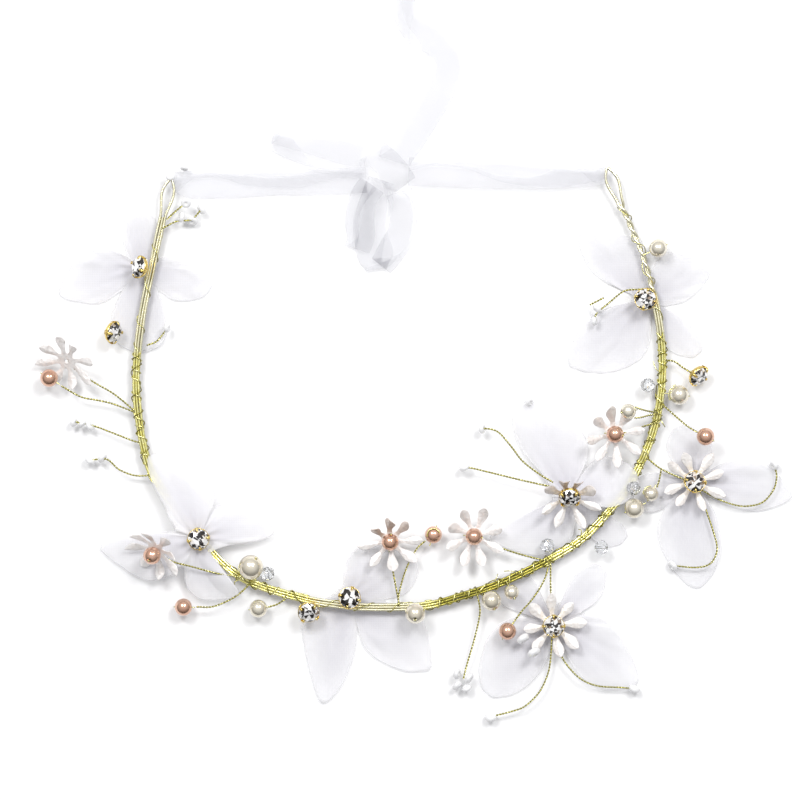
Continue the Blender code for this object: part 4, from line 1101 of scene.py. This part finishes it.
for number, axis in STONE_AXES.items():
    node = f"set_stone_{number}"
    axis = Vector(axis).normalized()
    spin = math.radians(STONE_TURNS[number])
    foot = middle(node) - axis * (LOW_SEAT if number in (1, 2, 4, 10) else SEAT)
    points, faces = stone_shape()
    mesh = mesh_of(f"stone_{number}_cut", placed(points, foot, axis, spin), faces, STONE, False)
    # Painted reflection: a random tone for each facet.
    painted_reflection_tones = np.random.default_rng(40 + number).random(len(mesh.polygons))
    mesh.attributes.new("painted_facet_reflection", "FLOAT", "FACE").data.foreach_set("value", painted_reflection_tones.astype(np.float32))
    hand_over(new_object(f"stone_{number}_cut", mesh), body_of(node))
    points, faces = turned(CUP_PROFILE, 28, (0, 0, 0), UP, False)
    for claw in range(4):
        more, claw_faces = claw_shape(TURN * (claw + 0.5) / 4)
        faces += [tuple(i + len(points) for i in face) for face in claw_faces]
        points += more
    mesh = mesh_of(f"stone_{number}_cup", placed(points, foot, axis, spin), faces, CUP_GOLD)
    hand_over(new_object(f"stone_{number}_cup", mesh), body_of(node), [node], "cup_gold")
print("stones:", len(STONE_AXES))

# %% [markdown]
# ## Small metal flowers
# A metal flower is one stamped blank: a disc with eight narrow petals, bent by hand. The mesh is one sheet
# too. Each petal is a grid whose first row is shared with the disc, and its half-width follows a short
# table. Every petal has its own lift, and a groove down its middle, and the tips curl.

# %% Stamp and bend a flower
DISC_RADIUS = 2.6
PETAL_ACROSS = 6
PETAL_ROWS = 12
PETAL_SHARES = (0.0, 0.12, 0.28, 0.48, 0.66, 0.82, 0.93, 1.0)
PETAL_HALVES = (1.02, 0.62, 0.9, 1.5, 1.78, 1.4, 0.75, 0.08)
STEM_HOLE = 0.6
METAL_REACH = 10.7
METAL_THICKNESS = 0.26


def metal_sheet(reach, lifts, first_turn, tan_shade_share, seed):
    """Points, faces and the painted tan shade of each point of one flower. The fourth argument scales that
    painted shade.
    """
    ring_count = 8 * PETAL_ACROSS
    points, tan_shades, faces = [], [], []
    for radius in (STEM_HOLE, DISC_RADIUS * 0.6, DISC_RADIUS):
        for i in range(ring_count):
            angle = first_turn + TURN * (i / PETAL_ACROSS - 0.5) / 8
            points.append(Vector((radius * math.cos(angle), radius * math.sin(angle), 0.0)))
            tan_shades.append(0.25 * tan_shade_share)
    for ring in (0, 1):
        for i in range(ring_count):
            j = (i + 1) % ring_count
            inner, outer = ring * ring_count, (ring + 1) * ring_count
            faces.append((inner + i, outer + i, outer + j, inner + j))
    chance = np.random.default_rng(seed)
    for petal, lift in enumerate(lifts):
        middle_turn = first_turn + TURN * petal / 8
        out = Vector((math.cos(middle_turn), math.sin(middle_turn), 0))
        aside = Vector((-math.sin(middle_turn), math.cos(middle_turn), 0))
        lift = math.radians(lift)
        curl = math.radians(chance.uniform(-10, 22))
        twist = chance.uniform(-0.25, 0.25)
        on_edge = max(math.degrees(lift) - 30, 0.0) / 30 * chance.choice((-1.0, 1.0)) * 0.95
        length = (reach - DISC_RADIUS) * chance.uniform(0.84, 1.05)
        breadth = chance.uniform(0.78, 1.08)
        swing = chance.uniform(-0.16, 0.16)
        row = [2 * ring_count + (petal * PETAL_ACROSS + i) % ring_count for i in range(PETAL_ACROSS + 1)]
        spine = out * DISC_RADIUS
        for step in range(1, PETAL_ROWS + 1):
            share = step / PETAL_ROWS
            pitch = lift * min(share * 3.0, 1.0) + curl * max(share - 0.45, 0.0) * 2
            ahead = (out + aside * swing).normalized() * math.cos(pitch) + UP * math.sin(pitch)
            spine = spine + ahead * length / PETAL_ROWS
            normal = ahead.cross(aside) * -1
            turned_aside = aside * math.cos(on_edge * share) + normal * math.sin(on_edge * share)
            normal = ahead.cross(turned_aside) * -1
            half = np.interp(share, PETAL_SHARES, PETAL_HALVES) * (breadth if step > 1 else 1.0)
            following = []
            for i in range(PETAL_ACROSS + 1):
                u = 2 * i / PETAL_ACROSS - 1
                hollow = (0.34 * u * u - 0.16 * math.exp(-(u / 0.22) ** 2)) * half * min(share * 2, 1.0)
                raised = hollow + twist * u * half * share
                dent = 0.17 * noise.noise(Vector((3.1 * share * 8, 3.0 * u, seed + petal)))
                following.append(len(points))
                points.append(spine + turned_aside * u * half + normal * (raised + dent))
                # Painted shade: the steeper a petal stands, the more tan it gets.
                steep = min(max((math.degrees(lift) - 24) / 34, 0.0), 1.0)
                tan_shades.append(tan_shade_share * (steep * 0.85 + 0.08 * (1 - share)))
            for i in range(PETAL_ACROSS):
                faces.append((row[i], following[i], following[i + 1], row[i + 1]))
            row = following
    return points, faces, tan_shades


# Each flower: its axis, how far it is turned, the lift of each petal, and how much painted tan shade it gets
METAL_FLOWERS = {
    1: ((-0.4, -0.55, 0.78), 10.0, (14, 22, 10, 24, 16, 8, 18, 20), 0.1),
    2: ((-0.5, -0.62, 0.62), 0.0, (26, 10, 30, 24, 12, 20, 28, 16), 0.1),
    3: ((0.0, 0.0, 1.0), 4.0, (14, 48, 62, 58, 12, 16, 20, 12), 1.0),
    4: ((0.0, 0.0, 1.0), 18.0, (12, 30, 42, 38, 26, 18, 22, 14), 0.2),
    5: ((0.0, 0.0, 1.0), 10.0, (16, 26, 48, 40, 34, 18, 14, 20), 0.35),
    6: ((0.0, -0.28, 1.0), 22.0, (34, 54, 56, 40, 30, 14, 12, 20), 0.8),
    7: ((0.0, 0.0, 1.0), 14.0, (10, 14, 22, 18, 10, 24, 20, 8), 0.2),
    8: ((0.0, 0.0, 1.0), 8.0, (14, 8, 22, 12, 16, 20, 10, 18), 0.2),
}
for number, (axis, turn_degrees, lifts, tan_shade_share) in METAL_FLOWERS.items():
    node = f"metal_flower_{number}"
    axis = Vector(axis).normalized()
    low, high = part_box(node)
    half_height = (high - low).z / 2 / MM
    below = Vector((0, 0, half_height - 0.3)) if axis.z > 0.9 else axis * 0.9
    base = middle(node) - below
    points, faces, tan_shades = metal_sheet(METAL_REACH, lifts, math.radians(turn_degrees), tan_shade_share, number)
    name = f"metal_flower_{number}_bent"
    mesh = sheet_mesh(name, placed(points, base, axis, 0.0), faces, PAINTED)
    mark_points(mesh, "painted_tan_shade", tan_shades)
    mesh.shade_smooth()
    flower = new_object(name, mesh)
    rounded = flower.modifiers.new("rounded", "SUBSURF")
    rounded.levels = rounded.render_levels = 1
    thicken(flower, METAL_THICKNESS)
    hand_over(flower, body_of(node), [node], "painted_petal")
print("metal flowers:", len(METAL_FLOWERS), "of", triangles(flower), "triangles")

# %% [markdown]
# ## Chiffon flowers
# Each chiffon flower is cut from one piece of cloth, with three or four broad petals whose edges curl from
# the heat that seals them. The sheet is a grid of rays and rings round the stem hole. The outline gives
# each ray its length, and the height adds the petal's hollow, its edge curl and small waves. Cloth under
# the vine stays low where the wire crosses it, and cloth over the vine is lifted there, as it would drape.

# %% Cut and curl the chiffon
RAYS = 240
RINGS = 26
CHIFFON_HOLE = 0.8
VALLEY = 4.0
CHIFFON_THICKNESS = 0.06


def rim_reach(rim, direction):
    """How far out a ray from the middle meets the outline."""
    ahead = rim[:, 0] * direction[0] + rim[:, 1] * direction[1]
    aside = rim[:, 1] * direction[0] - rim[:, 0] * direction[1]
    after, ahead_after = np.roll(aside, -1), np.roll(ahead, -1)
    crossing = (aside * after <= 0) & (aside != after)
    reach = (ahead + (ahead_after - ahead) * aside / np.where(crossing, aside - after, 1.0))[crossing]
    return float(max(reach.max(), VALLEY))


def petal_marks(centre, petals):
    """Each petal's first and last direction, in radians, and how long it is."""
    turns = [math.atan2(petal[0][1] - centre[1], petal[0][0] - centre[0]) for petal in petals]
    found = []
    for index, petal in enumerate(petals):
        first, last = turns[index], turns[(index + 1) % len(petals)]
        longest = max(math.dist(centre[:2], place) for place in petal)
        found.append((first, last, longest))
    return found


def place_on_petal(marks, angle, clockwise):
    """Which petal a direction falls on, and where across it: -1 and 1 are its two sides."""
    for index, (first, last, longest) in enumerate(marks):
        width = (first - last) % TURN if clockwise else (last - first) % TURN
        depth = (first - angle) % TURN if clockwise else (angle - first) % TURN
        if depth <= width:
            return index, 2 * depth / width - 1, longest
    return 0, 0.0, marks[0][2]


def chiffon_sheet(centre, petals, tip_heights, over, clockwise, seed):
    cx, cy, cz = centre
    places = [place for petal in petals for place in petal]
    closed = smooth(places[-2:] + places + places[:2], 6)[12:-12]
    rim = np.array(closed) - np.array([cx, cy])
    marks = petal_marks(centre, petals)
    points, flat, faces = [], [], []
    for ray in range(RAYS):
        angle = TURN * ray / RAYS
        reach = rim_reach(rim, (math.cos(angle), math.sin(angle)))
        reach *= 1 + 0.012 * noise.noise(Vector((angle * 7.0, seed, 0.0))) + 0.003 * math.sin(41 * angle)
        index, u, length = place_on_petal(marks, angle, clockwise)
        for ring in range(RINGS + 1):
            share = (ring / RINGS) ** 0.85
            r = CHIFFON_HOLE + (reach - CHIFFON_HOLE) * share
            x, y = cx + r * math.cos(angle), cy + r * math.sin(angle)
            depth = min(r / length, 1.0)
            z = cz + (tip_heights[index] - cz) * depth
            hollow = (0.9 * abs(u) ** 1.5 - 0.35) * depth * (0.7 + 0.5 * math.sin(2.3 * index + seed))
            crease = -0.16 * math.exp(-((u / 0.2) ** 2)) * depth
            uneven = 0.3 + noise.noise(Vector((angle * 3.2, 2.0 * seed, 1.0)))
            curl = 0.3 * (max(share - 0.7, 0.0) / 0.3) ** 2 * uneven
            wave = 0.8 * share**2 * noise.noise(Vector((angle * 5.0, seed, 2.0 * share)))
            pleat = 0.22 * math.exp(-(((share - 0.18) / 0.16) ** 2)) * math.sin(11 * angle + seed)
            shape = hollow + crease + curl + wave + pleat
            gap, _ = from_vine(x, y)
            if index in over:
                drape = 0.5 + 5.9 * math.exp(-((max(gap - 2.2, 0.0) / 7.0) ** 2))
                z = max(z + shape, drape)
            else:
                free = min(max((gap - 2.6) / 7.0, 0.0), 1.0)
                z = 0.35 + z + max(shape + 0.4, 0.0) * (0.2 + 0.8 * free * free)
                z = min(z, 1.9 + 4.5 * free)
            points.append(Vector((x, y, z)))
            flat.append(((x - cx) / 10, (y - cy) / 10))
    for ray in range(RAYS):
        aside = (ray + 1) % RAYS
        for ring in range(RINGS):
            a, b = ray * (RINGS + 1) + ring, aside * (RINGS + 1) + ring
            faces.append((a, a + 1, b + 1, b))
    return points, faces, flat


def add_weave_uv(mesh, flat):
    layer = mesh.uv_layers.new(name="weave")
    values = np.array(flat, np.float32)
    index = np.empty(len(mesh.loops), np.int32)
    mesh.loops.foreach_get("vertex_index", index)
    layer.data.foreach_set("uv", values[index].ravel())


def flat_area(points, rings):
    """The area inside the outline, seen from above, in square millimetres."""
    rim = points[rings::rings + 1]
    return 0.5 * abs(sum(a.x * b.y - b.x * a.y for a, b in zip(rim, rim[1:] + rim[:1])))


# Each flower: its middle, which petals lie over the vine, whether the outline goes clockwise, the height of
# each petal's tip, and each petal's outline from the valley where it starts
CHIFFON_FLOWERS = {
    1: ((-81.3, 41.3, 0.0), (), True, (0.0, 0.0, 0.0, 0.0), (
        ((-85.0, 44.4), (-86.6, 50.0), (-85.6, 57.8), (-82.8, 61.3), (-78.8, 60.0), (-75.9, 54.7),
         (-76.3, 47.5)),
        ((-77.2, 44.1), (-73.1, 44.7), (-67.8, 43.4), (-62.5, 40.9), (-58.8, 36.6), (-60.9, 32.5),
         (-66.3, 30.9), (-71.9, 31.6)),
        ((-75.3, 34.1), (-73.8, 29.7), (-72.8, 23.4), (-74.1, 17.5), (-78.8, 15.0), (-84.4, 15.3),
         (-89.1, 18.8), (-90.3, 25.6), (-88.1, 31.9)),
        ((-86.9, 34.1), (-93.1, 30.3), (-100.6, 30.6), (-106.6, 32.8), (-104.4, 39.1), (-100.0, 44.7),
         (-93.1, 47.8), (-86.9, 45.9)))),
    2: ((-62.5, -43.1, 7.2), (0, 1, 2, 3), True, (6.2, 3.6, 3.0, 1.8), (
        ((-70.0, -40.6), (-71.9, -36.3), (-73.1, -33.1), (-76.9, -25.9), (-78.4, -20.6), (-77.8, -16.9),
         (-72.5, -17.5), (-65.6, -20.6), (-60.6, -24.7), (-57.5, -29.1)),
        ((-57.8, -32.8), (-53.1, -32.2), (-48.1, -33.1), (-43.1, -35.6), (-39.4, -40.9), (-41.9, -43.1),
         (-47.5, -44.4), (-54.7, -45.6)),
        ((-59.6, -48.6), (-54.6, -54.0), (-51.0, -57.4), (-50.2, -60.4), (-52.5, -61.9), (-58.1, -62.5),
         (-63.4, -61.6), (-66.6, -57.5)),
        ((-67.5, -51.9), (-71.3, -54.7), (-77.8, -56.3), (-83.1, -54.4), (-87.5, -51.6), (-93.1, -47.2),
         (-92.2, -44.1), (-88.8, -41.6), (-84.4, -40.0), (-77.8, -41.6)))),
    3: ((-15.6, -61.6, 0.0), (), False, (0.0, 0.0, 0.0), (
        ((-20.3, -60.0), (-25.6, -63.4), (-30.6, -67.5), (-30.3, -75.0), (-28.8, -82.8), (-26.6, -90.6),
         (-24.4, -94.7), (-20.3, -92.2), (-16.6, -85.9), (-14.1, -78.1)),
        ((-13.1, -68.1), (-12.2, -75.0), (-8.8, -79.7), (-3.1, -83.1), (3.1, -84.7), (9.1, -84.4),
         (9.7, -79.7), (8.8, -73.4), (6.3, -68.1), (0.0, -64.4)),
        ((-4.7, -62.5), (1.6, -60.6), (5.6, -54.7), (3.8, -48.8), (-1.6, -45.6), (-8.8, -45.0),
         (-14.4, -46.9), (-17.2, -51.3), (-17.8, -57.2)))),
    4: ((52.5, -30.3, 1.6), (1,), True, (1.0, 1.2, 0.0, 1.0), (
        ((47.5, -31.3), (45.3, -24.4), (39.1, -17.2), (35.6, -10.0), (35.3, -4.7), (37.5, -1.3),
         (40.9, -0.3), (47.5, -3.1), (54.7, -7.5), (58.1, -12.5), (58.4, -17.8)),
        ((56.6, -23.1), (59.4, -19.7), (63.1, -17.8), (68.4, -18.4), (73.1, -21.9), (74.1, -26.9),
         (70.6, -31.6), (65.0, -33.4)),
        ((60.0, -33.1), (63.8, -35.6), (69.4, -38.8), (70.9, -43.1), (66.3, -45.9), (60.6, -43.8),
         (57.2, -39.4)),
        ((55.0, -36.9), (53.8, -42.5), (50.0, -46.9), (43.8, -48.8), (35.9, -47.2), (28.1, -43.8),
         (31.3, -38.8), (36.9, -35.9), (43.8, -33.8)))),
    5: ((91.6, -25.6, 0.0), (), True, (0.0, 0.0, 0.0, 0.0), (
        ((95.0, -21.3), (96.6, -21.9), (101.6, -19.4), (107.8, -18.4), (114.1, -20.0), (118.8, -24.4),
         (122.5, -30.3), (117.2, -33.4), (110.9, -34.7), (104.7, -33.4), (98.4, -31.3)),
        ((95.6, -30.3), (98.8, -36.3), (100.0, -43.8), (99.1, -51.3), (96.3, -56.6), (92.5, -59.1),
         (88.1, -56.3), (83.8, -50.9), (80.9, -44.7), (80.6, -38.8), (83.1, -33.4)),
        ((86.9, -31.3), (79.7, -35.0), (74.4, -33.8), (72.8, -29.4), (74.1, -24.7), (78.8, -22.8),
         (84.4, -23.1)),
        ((87.2, -22.8), (84.7, -18.8), (83.1, -14.4), (85.0, -9.7), (89.1, -7.5), (93.8, -9.1),
         (97.2, -12.8), (97.2, -17.5)))),
    6: ((47.8, -70.3, 0.0), (), True, (0.0, 0.0, 0.0, 0.0), (
        ((45.6, -64.1), (50.6, -62.5), (53.1, -56.3), (57.8, -52.2), (61.9, -51.3), (64.4, -54.1),
         (63.4, -60.0), (60.0, -64.1)),
        ((56.3, -66.6), (61.3, -66.9), (66.3, -70.6), (70.6, -76.9), (73.4, -82.8), (74.1, -88.8),
         (68.1, -90.6), (61.9, -89.7), (56.3, -86.3), (52.2, -80.3)),
        ((49.4, -75.6), (46.6, -79.7), (43.8, -85.0), (38.8, -90.0), (32.8, -92.8), (27.2, -92.2),
         (24.7, -87.5), (25.0, -81.3), (26.9, -75.0), (31.3, -70.0), (37.5, -67.5)),
        ((41.9, -68.1), (35.6, -65.9), (30.9, -63.1), (28.8, -58.8), (30.9, -54.7), (36.9, -53.8),
         (42.5, -56.9)))),
    7: ((76.3, 31.3, 0.0), (), True, (0.0, 0.0, 0.0, 0.0), (
        ((72.5, 30.6), (71.3, 33.8), (65.0, 36.3), (59.4, 40.6), (56.6, 46.3), (55.9, 51.3), (62.5, 52.2),
         (69.4, 51.6), (75.0, 49.7), (76.6, 43.8)),
        ((77.2, 37.5), (79.7, 42.8), (84.1, 46.3), (90.6, 45.0), (96.6, 40.3), (94.4, 35.3), (89.1, 30.9),
         (83.4, 29.4)),
        ((81.3, 29.1), (86.3, 27.2), (91.3, 23.4), (94.7, 16.9), (91.9, 13.4), (86.6, 14.1), (82.5, 17.2),
         (80.0, 23.1)),
        ((78.4, 26.9), (78.4, 20.6), (76.9, 15.0), (71.9, 10.6), (63.4, 8.4), (53.4, 10.0), (53.1, 15.6),
         (56.3, 22.5), (61.9, 27.5), (68.1, 29.7)))),
}
for number, (centre, over, clockwise, tip_heights, petals) in CHIFFON_FLOWERS.items():
    node = f"chiffon_flower_{number}"
    points, faces, flat = chiffon_sheet(centre, petals, tip_heights, over, clockwise, number)
    name = f"chiffon_{number}_petals"
    mesh = sheet_mesh(name, points, faces, CHIFFON)
    add_weave_uv(mesh, flat)
    mark_points(mesh, "outward", np.tile(np.linspace(0.0, 1.0, RINGS + 1, dtype=np.float32), RAYS))
    mesh.shade_smooth()
    flower = thicken(new_object(name, mesh), CHIFFON_THICKNESS)
    hand_over(flower, body_of(node), [node], "chiffon")
    xs, ys = [p.x for p in points], [p.y for p in points]
    across = ((max(xs) - min(xs)) * MM, (max(ys) - min(ys)) * MM)
    flat_area(points, RINGS) * MM * MM
    print(name, "flat", [round(a * 1000) for a in across], "mm")

# %% [markdown]
# ## The ribbon
# The ribbon is sheer organza, 20 mm wide, one length from each eyelet, tied behind the head. Pulled tight
# it gathers to less than half its width, so it folds over on itself in a few thin layers. A band is a grid
# along a smooth path: each place has its own visible width, and the cloth zigzags across it as often as its
# width needs.

# %% Fold the ribbon
RIBBON_WIDTH = 20.0
LAYER_GAP = 0.42
MOST_LAYERS = 3.4
POINTS_ACROSS = 73


def band(name, stations, seed):
    """stations are (x, y, height, visible width, roll in degrees) along the band."""
    dense = np.array(smooth(stations, 14))
    spans = np.linalg.norm(np.diff(dense[:, :3], axis=0), axis=1)
    marks = np.concatenate([[0.0], np.cumsum(spans)])
    points, flat, faces = [], [], []
    for i, (x, y, z, width, roll) in enumerate(dense):
        before, after = dense[max(i - 1, 0)], dense[min(i + 1, len(dense) - 1)]
        ahead = Vector((after - before)[:3]).normalized()
        side = ahead.cross(UP)
        side = side.normalized() if side.length > 0.05 else Vector((0, 1, 0))
        side = Matrix.Rotation(math.radians(roll), 3, ahead) @ side
        normal = side.cross(ahead)
        layers = min(max(RIBBON_WIDTH * 0.92 / width, 1.0), MOST_LAYERS)
        start = 0.35 + 0.5 * noise.noise(Vector((marks[i] / 34.0, 0.0, seed)))
        for k in range(POINTS_ACROSS):
            share = k / (POINTS_ACROSS - 1)
            turn = start + layers * share
            across = -math.cos(math.pi * turn) * width / 2
            ruffle = 0.7 * noise.noise(Vector((marks[i] / 16.0, 2.4 * share * layers, seed + 5)))
            drift = 0.5 * noise.noise(Vector((marks[i] / 9.0, share * 3.0, seed + 9)))
            lift = LAYER_GAP * layers * share + ruffle + 0.35
            place = Vector((x, y, z)) + side * (across + drift) + normal * lift
            place.z = max(place.z, 0.12)
            points.append(place)
            flat.append((share * RIBBON_WIDTH / 10, marks[i] / 10))
    for i in range(len(dense) - 1):
        for k in range(POINTS_ACROSS - 1):
            a = i * POINTS_ACROSS + k
            faces.append((a, a + 1, a + POINTS_ACROSS + 1, a + POINTS_ACROSS))
    mesh = sheet_mesh(name, points, faces, ORGANZA)
    add_weave_uv(mesh, flat)
    mesh.shade_smooth()
    piece = new_object(name, mesh)
    print(name, "length", round(marks[-1]), "mm,", triangles(piece), "triangles")
    return piece, marks[-1] * MM


BANDS = (
    ("ribbon_left_band", "ribbon_left", 1.0, (
        (-71.4, 68.8, 3.2, 4.8, 0), (-67.6, 67.6, 1.4, 8.0, 0), (-60.0, 67.2, 0.4, 8.8, 0),
        (-45.0, 67.6, 0.3, 8.2, 0), (-30.0, 68.0, 0.3, 8.0, 0), (-18.0, 68.4, 0.6, 8.4, 0),
        (-10.4, 68.8, 1.4, 8.4, 0))),
    ("ribbon_left_tail", "ribbon_left", 2.0, (
        (-5.6, 68.6, 3.2, 8.4, 0), (-7.0, 64.0, 2.4, 10.0, 6), (-8.2, 57.0, 1.2, 12.0, 0),
        (-8.2, 50.0, 0.6, 12.6, -4), (-7.8, 44.0, 0.6, 10.4, 0), (-7.4, 40.6, 0.6, 6.4, 0))),
    ("ribbon_left_loop", "ribbon_left", 3.0, (
        (-8.6, 67.0, 2.4, 8.6, 0), (-11.2, 63.0, 2.2, 9.2, 12), (-12.4, 57.0, 1.4, 9.6, 20),
        (-12.2, 51.0, 0.8, 9.2, 10), (-13.4, 47.0, 0.8, 8.2, 0))),
    ("ribbon_left_wisp", "ribbon_left", 8.0, (
        (0.0, 65.0, 2.4, 8.8, 20), (1.6, 59.0, 2.2, 9.4, 20), (0.2, 51.0, 1.4, 9.4, 20),
        (-3.2, 45.6, 0.8, 8.8, 10), (-6.0, 42.0, 0.6, 7.4, 0))),
    ("ribbon_right_band", "ribbon_right", 4.0, (
        (64.6, 70.4, 3.0, 4.6, 0), (60.0, 69.2, 1.8, 5.6, 0), (46.0, 69.6, 1.4, 7.6, 0),
        (32.0, 70.2, 1.4, 8.6, 0), (18.0, 70.6, 1.4, 9.0, 0), (2.6, 71.2, 2.2, 8.8, 0))),
    ("ribbon_right_up_tail", "ribbon_right", 5.0, (
        (-3.6, 75.0, 2.2, 14.0, 0), (-2.0, 80.0, 2.4, 17.0, 0), (3.0, 89.0, 2.2, 17.4, 4),
        (8.4, 97.0, 1.8, 17.4, -6), (11.2, 105.0, 2.0, 16.0, 6), (8.6, 112.6, 2.6, 12.4, 0),
        (3.2, 117.6, 3.0, 8.6, -6), (1.0, 124.0, 2.4, 7.0, 0), (2.4, 134.0, 1.6, 6.4, 0))),
    ("ribbon_right_side_tail", "ribbon_right", 6.0, (
        (-10.6, 75.6, 3.0, 11.0, 0), (-16.0, 76.4, 2.8, 11.6, 0), (-24.0, 77.4, 2.4, 10.6, 0),
        (-33.0, 79.0, 1.8, 8.4, 0), (-40.0, 80.6, 1.2, 5.6, 0))),
    ("ribbon_knot", "ribbon_right", 7.0, (
        (0.2, 66.6, 1.2, 11.0, 0), (-1.6, 69.0, 3.8, 12.0, 0), (-4.4, 72.0, 4.8, 12.4, 0),
        (-7.4, 75.0, 3.8, 12.0, 0), (-8.8, 76.8, 1.4, 11.0, 0))),
)
used = set()
for name, node, seed, stations in BANDS:
    piece, length = band(name, stations, seed)
    hand_over(piece, body_of(node), [node] if node not in used else (), "organza")
    used.add(node)

# %% Print the box round the crown
low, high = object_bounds()
print("looks box in mm:", [round(1000 * (b - a), 1) for a, b in zip(low, high)])
